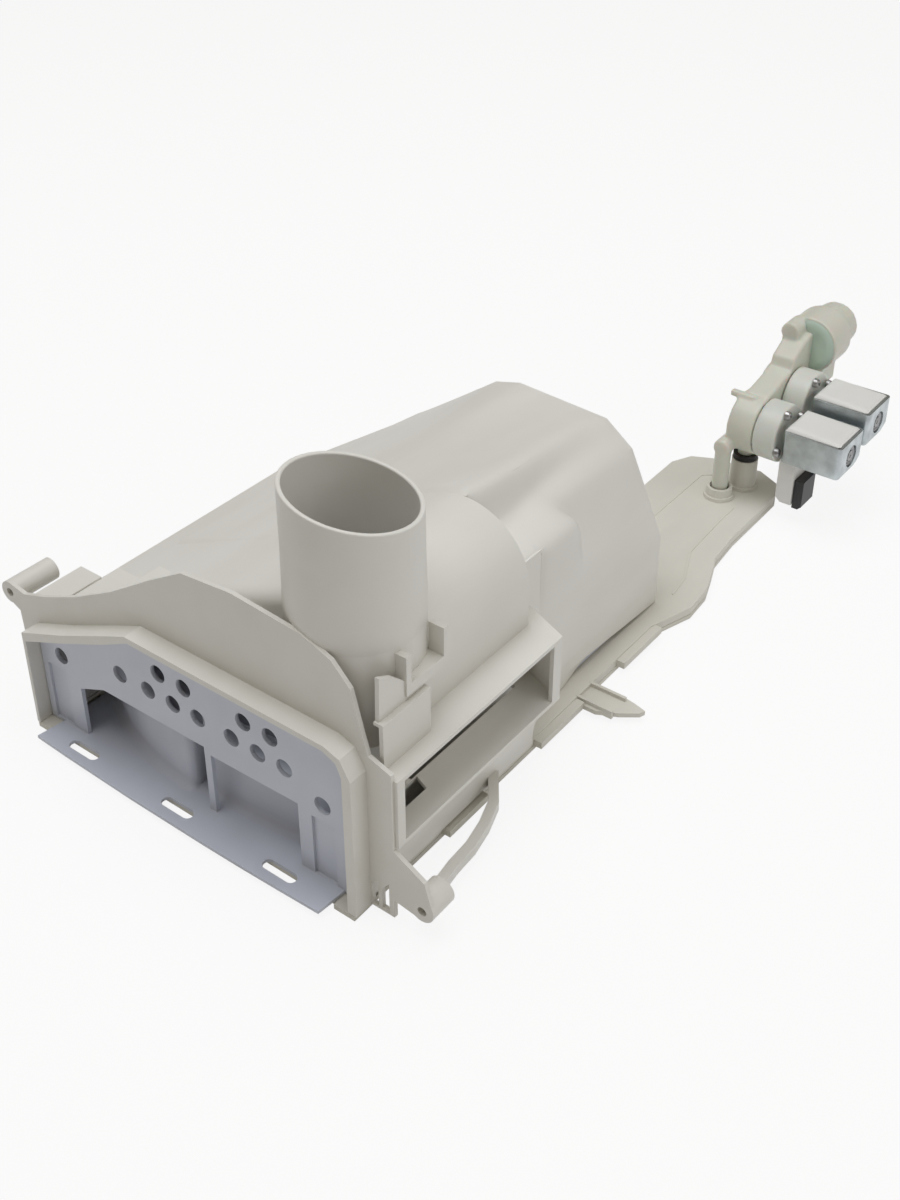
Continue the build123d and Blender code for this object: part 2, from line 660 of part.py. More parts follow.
# Siphon cap of the softener compartment
with BuildPart() as siphon_cap:
    with BuildSketch(Plane.XY.offset(12.2)):
        with Locations((SIPHON_X, 165)):
            RectangleRounded(CAP_WIDTH - 0.4, 60, 2)
        with Locations((SIPHON_X, 145)):
            SlotOverall(14, 4, mode=Mode.SUBTRACT)
    extrude(amount=1.5)
    with BuildSketch(Plane.XY.offset(13)):
        with Locations((SIPHON_X, SIPHON_Y)):
            Circle(5.2)
    extrude(amount=36)
    with BuildSketch(Plane.XY.offset(15)):
        with Locations((SIPHON_X, SIPHON_Y)):
            Circle(3.9)
    extrude(amount=40, mode=Mode.SUBTRACT)
siphon_cap.part.label = "siphon_cap"
export_step(siphon_cap.part, "parts/siphon_cap.step")

# Valve body: two chambers, duct, inlet barrel with thread, two outlets, clip
INLET_BORE_R = 9.6
MEMBRANE_R = 12.5
SCREW_PCD_R = 15.0
SCREW_ANGLES = (20, 110, 200, 290)
with BuildPart() as valve_body:
    for y, z in ((FRONT_COIL_Y, FRONT_COIL_Z), (REAR_COIL_Y, REAR_COIL_Z)):
        with BuildSketch(Plane.YZ.offset(64)):
            with Locations((y, z)):
                Circle(CHAMBER_R)
        extrude(amount=BODY_FACE_X - 64)
    # Duct from the chambers up to the inlet
    with BuildSketch(Plane.YZ.offset(DUCT_X)):
        Polygon(
            (FRONT_COIL_Y - 4, FRONT_COIL_Z + 6),
            (FRONT_COIL_Y + 1, FRONT_COIL_Z + 18),
            (FRONT_COIL_Y + 8, FRONT_COIL_Z + 19.4),
            (REAR_COIL_Y - 6, REAR_COIL_Z + 17.4),
            (REAR_COIL_Y - 4, REAR_COIL_Z + 23.4),
            (REAR_COIL_Y + 8, INLET_Z + 6),
            (BARREL_FRONT_Y + 6, INLET_Z + 10),
            (BARREL_FRONT_Y + 12, INLET_Z - 10),
            (REAR_COIL_Y + 15, REAR_COIL_Z - 8),
            align=None,
        )
    extrude(amount=BODY_FACE_X - DUCT_X)
    # Foot of the body right of the inlet
    with BuildSketch(Plane.YZ.offset(BODY_FACE_X - 4)):
        Polygon(
            (REAR_COIL_Y + CHAMBER_R + 1, REAR_COIL_Z - 2),
            (REAR_COIL_Y + CHAMBER_R + 1, INLET_Z),
            (THREAD_START_Y - 2, INLET_Z),
            (THREAD_START_Y - 2, REAR_COIL_Z - 2),
            align=None,
        )
    extrude(amount=12.3)
    with BuildSketch(Plane.XZ.offset(-THREAD_START_Y)):
        with Locations((INLET_X, INLET_Z)):
            Circle(BARREL_R)
    extrude(amount=BARREL_LEN + 2)
    with BuildSketch(Plane.XZ.offset(-THREAD_END_Y)):
        with Locations((INLET_X, INLET_Z)):
            Circle(THREAD_R - 1.2)
    extrude(amount=THREAD_LEN + 1)
    for k in range(round(THREAD_LEN / THREAD_PITCH)):
        with BuildSketch(Plane.XZ.offset(-THREAD_END_Y + THREAD_PITCH * k)):
            with Locations((INLET_X, INLET_Z)):
                Circle(THREAD_R)
        extrude(amount=THREAD_PITCH / 2)
    # Screw lug left of the barrel
    with BuildSketch(Plane.XZ.offset(-BARREL_FRONT_Y - 2)):
        with Locations((INLET_X - 8, INLET_Z + 10)):
            Circle(5.5)
    extrude(amount=15)
    # Clip at the top of the front chamber
    with BuildSketch(Plane.XY.offset(FRONT_COIL_Z + CHAMBER_R - 2)):
        with Locations((DUCT_X + 0.5, FRONT_COIL_Y - 3)):
            Rectangle(15, 4)
    extrude(amount=3.6)
    # Outlets: elbow at the front, straight spigot behind
    with BuildSketch(Plane.XY.offset(8.5)):
        with Locations(SOCKET_FRONT):
            Circle(4.6)
    extrude(amount=34)
    with BuildSketch(Plane.XZ.offset(-FRONT_COIL_Y - 2)):
        with Locations((SOCKET_FRONT[0], 40)):
            Circle(5)
    extrude(amount=FRONT_COIL_Y + 2 - SOCKET_FRONT[1] + 4)
    with BuildSketch(Plane.XY.offset(8.5)):
        with Locations(SOCKET_REAR):
            Circle(4.6)
    extrude(amount=34)
    # Water ways
    with BuildSketch(Plane.XZ.offset(-THREAD_END_Y)):
        with Locations((INLET_X, INLET_Z)):
            Circle(INLET_BORE_R)
    extrude(amount=THREAD_END_Y - BARREL_FRONT_Y, mode=Mode.SUBTRACT)
    for y, z in ((FRONT_COIL_Y, FRONT_COIL_Z), (REAR_COIL_Y, REAR_COIL_Z)):
        with BuildSketch(Plane.YZ.offset(BODY_FACE_X)):
            with Locations((y, z)):
                Circle(MEMBRANE_R + 0.2)
        extrude(amount=-2.1, mode=Mode.SUBTRACT)
        with BuildSketch(Plane.YZ.offset(BODY_FACE_X)):
            with Locations((y, z)):
                Circle(10.5)
                Circle(4, mode=Mode.SUBTRACT)
        extrude(amount=-9, mode=Mode.SUBTRACT)
        with BuildSketch(Plane.YZ.offset(BODY_FACE_X)):
            with Locations((y, z)):
                Circle(2.6)
        extrude(amount=-11, mode=Mode.SUBTRACT)
        with BuildSketch(Plane.YZ.offset(BODY_FACE_X)):
            with Locations((y, z)):
                with PolarLocations(SCREW_PCD_R, 4, start_angle=SCREW_ANGLES[0]):
                    Circle(0.9)
        extrude(amount=-6, mode=Mode.SUBTRACT)
    with BuildSketch(Plane.XY.offset(8.5)):
        with Locations(SOCKET_FRONT, SOCKET_REAR):
            Circle(3)
    extrude(amount=30, mode=Mode.SUBTRACT)
valve_body.part.label = "valve_body"
export_step(valve_body.part, "parts/valve_body.step")

# Inlet filter: thimble with a flange in the mouth of the barrel
with BuildPart() as inlet_filter:
    with BuildSketch(Plane.XZ.offset(-THREAD_END_Y + 1)):
        with Locations((INLET_X, INLET_Z)):
            Circle(INLET_BORE_R - 0.2)
    extrude(amount=1.4)
    with BuildSketch(Plane.XZ.offset(-THREAD_END_Y + 1)):
        with Locations((INLET_X, INLET_Z)):
            Circle(6.8)
    extrude(amount=16)
    with BuildSketch(Plane.XZ.offset(-THREAD_END_Y + 1)):
        with Locations((INLET_X, INLET_Z)):
            Circle(5.8)
    extrude(amount=15, mode=Mode.SUBTRACT)
inlet_filter.part.label = "inlet_filter"
export_step(inlet_filter.part, "parts/inlet_filter.step")

# Flow regulator: disc with an elastic ring at the inner end of the barrel
with BuildPart() as flow_regulator:
    with BuildSketch(Plane.XZ.offset(-BARREL_FRONT_Y - 7)):
        with Locations((INLET_X, INLET_Z)):
            Circle(INLET_BORE_R - 0.2)
            with PolarLocations(6, 6):
                Circle(1.3, mode=Mode.SUBTRACT)
    extrude(amount=6.7)
flow_regulator.part.label = "flow_regulator"
export_step(flow_regulator.part, "parts/flow_regulator.step")

# Seals of the two outlets
with BuildPart() as outlet_seal_front:
    with BuildSketch(Plane.XY.offset(9)):
        with Locations(SOCKET_FRONT):
            Circle(5.4)
            Circle(4.8, mode=Mode.SUBTRACT)
    extrude(amount=3)
outlet_seal_front.part.label = "outlet_seal_front"
export_step(outlet_seal_front.part, "parts/outlet_seal_front.step")

with BuildPart() as outlet_seal_rear:
    with BuildSketch(Plane.XY.offset(SOCKET_REAR_TOP + 0.2)):
        with Locations(SOCKET_REAR):
            Circle(7)
            Circle(4.8, mode=Mode.SUBTRACT)
    extrude(amount=3.4)
outlet_seal_rear.part.label = "outlet_seal_rear"
export_step(outlet_seal_rear.part, "parts/outlet_seal_rear.step")

# Front solenoid
BONNET_X = BODY_FACE_X + SEAT_GAP
GUIDE_END_X = COIL_X + COIL_LEN - 3.5
PLUNGER_X = BODY_FACE_X + 1.5
PLUNGER_LEN = 24.0
SPRING_X = PLUNGER_X + PLUNGER_LEN + 0.2
SPRING_LEN = 12.0
BORE_END_X = SPRING_X + SPRING_LEN + 0.2
SCREW_HEAD_T = 1.8
TERMINAL_X = COIL_X + 4.2

with BuildPart() as diaphragm_front:
    with BuildSketch(Plane.YZ.offset(BODY_FACE_X - 1.9)):
        with Locations((FRONT_COIL_Y, FRONT_COIL_Z)):
            Circle(MEMBRANE_R)
    extrude(amount=1.6)
diaphragm_front.part.label = "diaphragm_front"
export_step(diaphragm_front.part, "parts/diaphragm_front.step")

with BuildPart() as bonnet_front:
    with BuildSketch(Plane.YZ.offset(BONNET_X)):
        with Locations((FRONT_COIL_Y, FRONT_COIL_Z)):
            Circle(CHAMBER_R)
    extrude(amount=BONNET_T)
    with BuildSketch(Plane.YZ.offset(BONNET_X)):
        with Locations((FRONT_COIL_Y, FRONT_COIL_Z)):
            Circle(GUIDE_R)
    extrude(amount=GUIDE_END_X - BONNET_X)
    with BuildSketch(Plane.YZ.offset(BONNET_X)):
        with Locations((FRONT_COIL_Y, FRONT_COIL_Z)):
            Circle(GUIDE_BORE_R)
    extrude(amount=BORE_END_X - BONNET_X, mode=Mode.SUBTRACT)
    with BuildSketch(Plane.YZ.offset(BONNET_X)):
        with Locations((FRONT_COIL_Y, FRONT_COIL_Z)):
            with PolarLocations(SCREW_PCD_R, 4, start_angle=SCREW_ANGLES[0]):
                Circle(1.1)
    extrude(amount=BONNET_T, mode=Mode.SUBTRACT)
bonnet_front.part.label = "bonnet_front"
export_step(bonnet_front.part, "parts/bonnet_front.step")

with BuildPart() as bonnet_screws_front:
    with BuildSketch(Plane.YZ.offset(BONNET_X + BONNET_T + 0.1)):
        with Locations((FRONT_COIL_Y, FRONT_COIL_Z)):
            with PolarLocations(SCREW_PCD_R, 4, start_angle=SCREW_ANGLES[0]):
                Circle(1.9)
    extrude(amount=SCREW_HEAD_T)
    with BuildSketch(Plane.YZ.offset(BONNET_X - 5)):
        with Locations((FRONT_COIL_Y, FRONT_COIL_Z)):
            with PolarLocations(SCREW_PCD_R, 4, start_angle=SCREW_ANGLES[0]):
                Circle(0.85)
    extrude(amount=BONNET_T + 6)
bonnet_screws_front.part.label = "bonnet_screws_front"
export_step(bonnet_screws_front.part, "parts/bonnet_screws_front.step")

with BuildPart() as plunger_front:
    with BuildSketch(Plane.YZ.offset(PLUNGER_X)):
        with Locations((FRONT_COIL_Y, FRONT_COIL_Z)):
            Circle(PLUNGER_R)
    extrude(amount=PLUNGER_LEN)
plunger_front.part.label = "plunger_front"
export_step(plunger_front.part, "parts/plunger_front.step")

SPRING_R = 2.7
SPRING_WIRE_R = 0.4
with BuildPart() as plunger_spring_front:
    with BuildLine():
        turns = Helix(
            pitch=(SPRING_LEN - 2 * SPRING_WIRE_R) / 4,
            height=SPRING_LEN - 2 * SPRING_WIRE_R,
            radius=SPRING_R,
            center=(SPRING_X + SPRING_WIRE_R, FRONT_COIL_Y, FRONT_COIL_Z),
            direction=(1, 0, 0),
        )
    with BuildSketch(Plane(origin=turns @ 0, z_dir=turns % 0)):
        Circle(SPRING_WIRE_R)
    sweep(path=turns)
plunger_spring_front.part.label = "plunger_spring_front"
export_step(plunger_spring_front.part, "parts/plunger_spring_front.step")

YOKE_Y = FRONT_COIL_Y - COIL_DEPTH / 2
YOKE_Z = FRONT_COIL_Z - COIL_HEIGHT / 2
with BuildPart() as coil_yoke_front:
    with BuildSketch(Plane.XY.offset(YOKE_Z)):
        with Locations((COIL_X + COIL_LEN / 2, FRONT_COIL_Y)):
            Rectangle(COIL_LEN, COIL_DEPTH)
            Rectangle(COIL_LEN - 2 * YOKE_T, COIL_DEPTH - 2 * YOKE_T, mode=Mode.SUBTRACT)
    extrude(amount=COIL_HEIGHT)
    with BuildSketch(Plane.YZ.offset(COIL_X)):
        with Locations((FRONT_COIL_Y, FRONT_COIL_Z)):
            Circle(GUIDE_R + 0.3)
    extrude(amount=YOKE_T, mode=Mode.SUBTRACT)
    with BuildSketch(Plane.YZ.offset(COIL_X + COIL_LEN)):
        with Locations((FRONT_COIL_Y, FRONT_COIL_Z)):
            Circle(3.4)
    extrude(amount=-YOKE_T, mode=Mode.SUBTRACT)
    with BuildSketch(Plane.YZ.offset(COIL_X)):
        with Locations((YOKE_Y + COIL_DEPTH, YOKE_Z)):
            Polygon((-9, -1), (1, -1), (1, 7), align=None)
    extrude(amount=COIL_LEN, mode=Mode.SUBTRACT)
coil_yoke_front.part.label = "coil_yoke_front"
export_step(coil_yoke_front.part, "parts/coil_yoke_front.step")

BOBBIN_GAP = 0.25
with BuildPart() as coil_bobbin_front:
    with BuildSketch(Plane.YZ.offset(COIL_X + YOKE_T + BOBBIN_GAP)):
        with Locations((FRONT_COIL_Y, FRONT_COIL_Z + 0.7)):
            RectangleRounded(COIL_DEPTH - 2 * YOKE_T - 2 * BOBBIN_GAP, COIL_HEIGHT + 0.4, 4)
    extrude(amount=COIL_LEN - 2 * YOKE_T - 2 * BOBBIN_GAP)
    with BuildSketch(Plane.YZ.offset(COIL_X)):
        with Locations((FRONT_COIL_Y, FRONT_COIL_Z)):
            Circle(GUIDE_R + 0.25)
        with Locations((YOKE_Y + COIL_DEPTH, YOKE_Z)):
            Polygon((-12, -3), (1, -3), (1, 9), align=None)
    extrude(amount=COIL_LEN, mode=Mode.SUBTRACT)
    with BuildSketch(Plane.XY.offset(YOKE_Z - 3)):
        with Locations((TERMINAL_X, FRONT_COIL_Y - 5), (TERMINAL_X, FRONT_COIL_Y + 2)):
            Rectangle(5.2, 1.2)
    extrude(amount=7, mode=Mode.SUBTRACT)
coil_bobbin_front.part.label = "coil_bobbin_front"
export_step(coil_bobbin_front.part, "parts/coil_bobbin_front.step")

with BuildPart() as coil_terminals_front:
    with BuildSketch(Plane.XY.offset(YOKE_Z - 12)):
        with Locations((TERMINAL_X, FRONT_COIL_Y - 5), (TERMINAL_X, FRONT_COIL_Y + 2)):
            Rectangle(4.8, 0.8)
    extrude(amount=15.6)
coil_terminals_front.part.label = "coil_terminals_front"
export_step(coil_terminals_front.part, "parts/coil_terminals_front.step")

# Rear solenoid: the same pieces, one pitch behind and above
REAR_COIL = Location((0, REAR_COIL_Y - FRONT_COIL_Y, REAR_COIL_Z - FRONT_COIL_Z))

with BuildPart() as diaphragm_rear:
    add(diaphragm_front.part.moved(REAR_COIL))
diaphragm_rear.part.label = "diaphragm_rear"
export_step(diaphragm_rear.part, "parts/diaphragm_rear.step")

with BuildPart() as bonnet_rear:
    add(bonnet_front.part.moved(REAR_COIL))
bonnet_rear.part.label = "bonnet_rear"
export_step(bonnet_rear.part, "parts/bonnet_rear.step")

with BuildPart() as bonnet_screws_rear:
    add(bonnet_screws_front.part.moved(REAR_COIL))
bonnet_screws_rear.part.label = "bonnet_screws_rear"
export_step(bonnet_screws_rear.part, "parts/bonnet_screws_rear.step")

with BuildPart() as plunger_rear:
    add(plunger_front.part.moved(REAR_COIL))
plunger_rear.part.label = "plunger_rear"
export_step(plunger_rear.part, "parts/plunger_rear.step")

with BuildPart() as plunger_spring_rear:
    add(plunger_spring_front.part.moved(REAR_COIL))
plunger_spring_rear.part.label = "plunger_spring_rear"
export_step(plunger_spring_rear.part, "parts/plunger_spring_rear.step")

with BuildPart() as coil_yoke_rear:
    add(coil_yoke_front.part.moved(REAR_COIL))
coil_yoke_rear.part.label = "coil_yoke_rear"
export_step(coil_yoke_rear.part, "parts/coil_yoke_rear.step")

with BuildPart() as coil_bobbin_rear:
    add(coil_bobbin_front.part.moved(REAR_COIL))
coil_bobbin_rear.part.label = "coil_bobbin_rear"
export_step(coil_bobbin_rear.part, "parts/coil_bobbin_rear.step")

with BuildPart() as coil_terminals_rear:
    add(coil_terminals_front.part.moved(REAR_COIL))
coil_terminals_rear.part.label = "coil_terminals_rear"
export_step(coil_terminals_rear.part, "parts/coil_terminals_rear.step")

# Connector on the terminals of the front coil
BLOCK_X = COIL_X + 3.0
BLOCK_WIDTH = 9.6
BLOCK_TOP = YOKE_Z - 1
PLUG_DROP = 2.0
with BuildPart() as connector_block:
    with BuildSketch(Plane.XY.offset(BLOCK_TOP - 27)):
        with Locations((BLOCK_X, FRONT_COIL_Y - 2)):
            Rectangle(BLOCK_WIDTH, 18)
    extrude(amount=27)
    chamfer(connector_block.faces().sort_by(Axis.Z)[0].edges().sort_by(Axis.X)[0], 3)
    with BuildSketch(Plane.XY.offset(BLOCK_TOP)):
        with Locations((TERMINAL_X, FRONT_COIL_Y - 5), (TERMINAL_X, FRONT_COIL_Y + 2)):
            Rectangle(5.2, 1.2)
    extrude(amount=-13, mode=Mode.SUBTRACT)
connector_block.part.label = "connector_block"
export_step(connector_block.part, "parts/connector_block.step")

with BuildPart() as connector_plug:
    with BuildSketch(Plane.YZ.offset(BLOCK_X + BLOCK_WIDTH / 2 + 0.25)):
        with Locations((FRONT_COIL_Y - 2, BLOCK_TOP - 18 - PLUG_DROP)):
            Rectangle(15, 18)
    extrude(amount=5.6)
    chamfer(connector_plug.faces().sort_by(Axis.X)[-1].edges().sort_by(Axis.Z)[0], 2)
connector_plug.part.label = "connector_plug"
export_step(connector_plug.part, "parts/connector_plug.step")
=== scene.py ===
import math

import bmesh
import bpy
import numpy as np
from mathutils import Matrix, Vector
from mathutils.bvhtree import BVHTree


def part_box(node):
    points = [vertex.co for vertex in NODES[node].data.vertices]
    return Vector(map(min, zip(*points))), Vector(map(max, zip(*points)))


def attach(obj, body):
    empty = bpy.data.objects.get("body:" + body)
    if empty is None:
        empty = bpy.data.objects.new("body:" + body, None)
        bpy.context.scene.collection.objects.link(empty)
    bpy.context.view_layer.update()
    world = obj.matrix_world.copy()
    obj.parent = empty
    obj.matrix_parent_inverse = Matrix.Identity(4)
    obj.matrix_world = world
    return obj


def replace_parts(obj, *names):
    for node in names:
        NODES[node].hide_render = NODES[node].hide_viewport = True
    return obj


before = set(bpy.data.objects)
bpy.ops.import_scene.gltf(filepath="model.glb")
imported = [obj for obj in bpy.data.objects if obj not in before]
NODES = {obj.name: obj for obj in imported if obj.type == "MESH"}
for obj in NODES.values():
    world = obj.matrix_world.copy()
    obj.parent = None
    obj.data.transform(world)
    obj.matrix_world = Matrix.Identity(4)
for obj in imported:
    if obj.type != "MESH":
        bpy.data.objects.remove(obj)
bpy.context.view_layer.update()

bl_info = {
    "name": "Detergent dispenser dressing",
    "version": (1, 0, 0),
    "blender": (4, 5, 0),
    "location": "View3D > Sidebar > Dispenser",
    "description": "Finishes, small fittings and studio for a washing machine detergent dispenser",
    "category": "Object",
}


def tint(name, text, default):
    """A colour setting for the sidebar."""
    return bpy.props.FloatVectorProperty(
        name=name, description=text, subtype="COLOR", size=3, min=0.0, max=1.0, default=default
    )


def length(name, text, default):
    """A size setting for the sidebar."""
    return bpy.props.FloatProperty(name=name, description=text, unit="LENGTH", default=default)


def watts(name, text, default):
    """A lamp setting for the sidebar."""
    return bpy.props.FloatProperty(name=name, description=text, unit="POWER", default=default)


class DispenserFinishes(bpy.types.PropertyGroup):
    """Colours of the plastics, metals and rubber."""

    housing: tint("Housing", "Warm white of the housing", (0.81, 0.80, 0.765))
    housing_shade: tint("Housing shade", "Greyer tone in the flow marks of the housing", (0.76, 0.745, 0.70))
    tray: tint("Tray", "Cream of the water distributor", (0.77, 0.755, 0.695))
    drawer: tint("Drawer", "Bluish white of the drawer", (0.66, 0.695, 0.80))
    valve: tint("Valve", "Natural nylon of the valve body", (0.80, 0.805, 0.72))
    bonnet: tint("Bonnet", "Paler nylon of the solenoid bonnets", (0.76, 0.785, 0.745))
    regulator: tint("Regulator", "Pale green of the flow regulator", (0.60, 0.74, 0.65))
    zinc: tint("Zinc", "Plated steel of the yokes", (0.60, 0.65, 0.665))
    coil: tint("Coil", "White casing of the coils and the connector", (0.87, 0.87, 0.86))
    black: tint("Black", "Seals and plug", (0.012, 0.012, 0.014))


class DispenserStudio(bpy.types.PropertyGroup):
    """Lamps and floor."""

    key_power: watts("Key power", "Large lamp above and behind", 16.0)
    fill_power: watts("Fill power", "Lamp on the right", 4.5)
    sky: bpy.props.FloatProperty(name="Sky", description="Strength of the even light", default=0.21, min=0.0)
    floor: length("Floor", "Side of the floor", 8.0)


class DispenserFittings(bpy.types.PropertyGroup):
    """Sizes of the small fittings."""

    screw_radius: length("Screw radius", "Radius of the bonnet screws' heads", 0.0027)
    screw_height: length("Screw height", "Height of the bonnet screws' heads", 0.0032)
    pole_radius: length("Pole radius", "Radius of the pole seen in the yoke's end", 0.0033)
    window_radius: length("Window radius", "Radius of the round window in the yoke's end", 0.0064)
    foot_radius: length("Foot radius", "Fillet at the foot of the drawer's compartments", 0.0045)


# These turn a lathe's axis from Z to X, and from Z to -Y.
TO_RIGHT = Matrix(((0, 0, 1, 0), (1, 0, 0, 0), (0, 1, 0, 0), (0, 0, 0, 1)))
TO_FRONT = Matrix(((1, 0, 0, 0), (0, 0, -1, 0), (0, 1, 0, 0), (0, 0, 0, 1)))

# Edges: where shading breaks, and what is rounded on the tray and the drawer.
SHARP_DEGREES = 35
WELD_REACH = 0.00001
FLAT_DEGREES = 0.6
EDGE_DEGREES = 32
TRAY_EDGE = 0.0005
DRAWER_EDGE = 0.0003

# Melted nylon: voxel size and rounds of smoothing.
VALVE_VOXEL, VALVE_ROUNDS = 0.0009, 6
BONNET_VOXEL, BONNET_ROUNDS = 0.0008, 8

# Drain spigot: its place, and the section of its root by radius and height.
SPIGOT_X = 0.0704
SPIGOT_Y = 0.0288
SPIGOT_STEPS = 128
SPIGOT_BLEND = (
    (0.02720, 0.1180), (0.02796, 0.1200), (0.02798, 0.1280), (0.02795, 0.1312), (0.02780, 0.1370),
    (0.02765, 0.1440), (0.02753, 0.1520), (0.02720, 0.1560),
)

# Roof of the hopper: the grid of angles and depths that its skin is drawn on, and where it begins.
ROOF_AXIS_Z = 0.03
ROOF_START = -8
ROOF_SWEEP = 159
ROOF_COLUMNS = 190
ROOF_TURNS = [math.radians(ROOF_START + ROOF_SWEEP * step / ROOF_COLUMNS) for step in range(ROOF_COLUMNS + 1)]
ROOF_FRONT_Y = 0.064
ROOF_LENGTH = 0.1766
ROOF_ROWS = 135
ROOF_DEPTHS = [ROOF_FRONT_Y + ROOF_LENGTH * step / ROOF_ROWS for step in range(ROOF_ROWS + 1)]
ROOF_STEP_Y = 0.1117
HOOD_END_Y = 0.1300
ROOF_FRONT_TURN = math.radians(80)
HOOD_TURN = math.radians(38)
ROOF_REAR_TURN = math.radians(ROOF_START)

# Skin of the roof: rounds of smoothing, its lift, and how its rim sinks into the plastic.
RAY_REACH = 0.3
RAY_SHIFTS = (0, 0.00007, -0.00011, 0.00023, -0.00031)
RIM_CELLS = 4
RIM_SINK = 0.00015
CREST_SLACK = 0.0003
CREST_ROUNDS = 24
FREE_ROUNDS = 9
SHADING_ROUNDS = 14
COVER_SPREAD = 6
COVER_ROUNDS = 12
SKIN_LIFT = 0.0004

# Drawer: the plan of each compartment's bowed front, and the fillet at its foot.
DRAWER_WALL = 0.0016
DRAWER_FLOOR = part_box("drawer_body")[0].z + DRAWER_WALL
MAIN_FOOT = ((-0.082, 0.0255), (-0.0435, 0.0081), (-0.005, 0.0022))
MAIN_FOOT_END = -0.009
SIDE_FOOT = ((0.0, 0.0067), (0.041, 0.0088), (0.082, 0.0164))
FOOT_STEPS = 40
CORNER_RADIUS = 0.004
FILLET_STEPS = 8
FILLET_ENDS = 4
FILLET_TIP = 0.4
FILLET_ROOT = 0.0004

# Inlet: the place of its green shoulder, and the shoulder's section by radius and height.
INLET_PLACE = (0.078, 0.4245, 0.080)
INLET_STEPS = 64
INLET_SHOULDER = (
    (0.0164, 0.0), (0.0164, 0.0010), (0.0159, 0.0022), (0.0147, 0.0031), (0.0132, 0.0036), (0.0110, 0.0037),
    (0.0102, 0.0034), (0.0, 0.0033),
)

# Steps each way of the grids that the coil casings and screw heads are drawn on.
GRID_STEPS = 26

# Solenoids: Y and Z of each coil's axis, and the screws round each bonnet.
COIL_AXES = {"front": (0.370, 0.0501), "rear": (0.404, 0.0561)}
BONNET_FACE = 0.0939
SCREW_CIRCLE = 0.015
SCREW_DEGREES = (20, 110, 200, 290)
SCREW_DOME = 0.75

# Cross recess of a screw, as shares of the head's radius, and its depth.
RECESS_DEGREES = 31
RECESS_WIDTH = 0.17
RECESS_REACH = 0.62
RECESS_FLAT = 0.35
RECESS_DEPTH = 0.0011

# Yoke: bent sheet along X, with one lower corner cut off.
YOKE_NEAR = 0.098
YOKE_FAR = 0.132
YOKE_HALF_WIDTH = 0.015
YOKE_HALF_HEIGHT = 0.0095
YOKE_SHEET = 0.0015
YOKE_CORNER = 0.0022
YOKE_CUT_START = 0.0075
YOKE_CUT_SLOPE = 0.55
WINDOW_SPAN = (0.1290, 0.1340)

# Coil casing where it swells out of the yoke.
CASING_LENGTH = 0.0322
CASING_HALF_WIDTH = 0.0132
CASING_FOOT = 0.00955
CASING_CROWN = 0.0027
CASING_FALL = 0.0012
CASING_ROUND = 0.0042

# Pole: its offset from the coil's axis, and its section as steps from the window's radius, from the
# pole's own radius and from the axis, each with X.
POLE_OFFSET = (0.0008, -0.0012)
POLE_CLEARANCE = 0.0002
POLE_STEPS = 48
POLE_FLANGE = ((0.0, 0.13035), (0.0, 0.1308), (-0.0007, 0.13125), (-0.0014, 0.1311))
POLE_END = ((0.0008, 0.1306), (0.0, 0.1307), (-0.0003, 0.1314), (-0.0009, 0.1316))
POLE_DIMPLE = ((0.0013, 0.1315), (0.0009, 0.1310), (0.0, 0.1308))
STAKES = 6
STAKE_RIM = 0.001
STAKE_DEPTH = 0.0004

# Finishes: the relief of plastic and steel, and the painted shade in the corners.
RELIEF_DEPTH = 0.0002
PLASTIC_BUMP = 0.35
STEEL_BUMP = 0.2
# Warm colour of the painted shade that darkens corners and creases.
CORNER_SHADE_COLOUR = (0.66, 0.62, 0.52, 1)
CORNER_REACH = 0.012

# Studio: floor, even light, lamps and camera.
FLOOR_Z = -0.0002
FLOOR_SHADOWS = 0.12
SKY_COLOUR = (1.0, 0.91, 0.77, 1)
LAMP_COLOUR = (0.97, 0.985, 1.0)
KEY_PLACE = (-0.1, 0.06, 1.62)
KEY_TARGET = (0.0, 0.15, 0.05)
KEY_SIZE = 1.3
FILL_PLACE = (1.5, 0.5, 0.7)
FILL_TARGET = (0.0, 0.2, 0.05)
FILL_SIZE = 1.1
CAMERA_PLACE = (0.37587, -0.31238, 0.46387)
CAMERA_AZIMUTH = math.radians(37.2)
CAMERA_ELEVATION = math.radians(31.33)
CAMERA_SHIFT = (-0.0014, -0.112)
SENSOR_WIDTH = 36.0
LENS = 44.18


def finishes():
    """The colour settings."""
    return bpy.context.scene.dispenser_finishes


def fittings():
    """The size settings."""
    return bpy.context.scene.dispenser_fittings


def darker(colour, share=0.92):
    """A colour brought down to a share of itself."""
    return tuple(part * share for part in colour)


def bow(plan, steps):
    """Points along the arc through three points of a plan, at the drawer's floor."""
    (ax, ay), (bx, by), (cx, cy) = plan
    turn = 2 * (ax * (by - cy) + bx * (cy - ay) + cx * (ay - by))
    first, second, third = ax * ax + ay * ay, bx * bx + by * by, cx * cx + cy * cy
    x = (first * (by - cy) + second * (cy - ay) + third * (ay - by)) / turn
    y = (first * (cx - bx) + second * (ax - cx) + third * (bx - ax)) / turn
    radius = math.hypot(ax - x, ay - y)
    start, end = math.atan2(ay - y, ax - x), math.atan2(cy - y, cx - x)
    return [
        Vector((x + radius * math.cos(angle), y + radius * math.sin(angle), DRAWER_FLOOR))
        for angle in (start + (end - start) * step / steps for step in range(steps + 1))
    ]


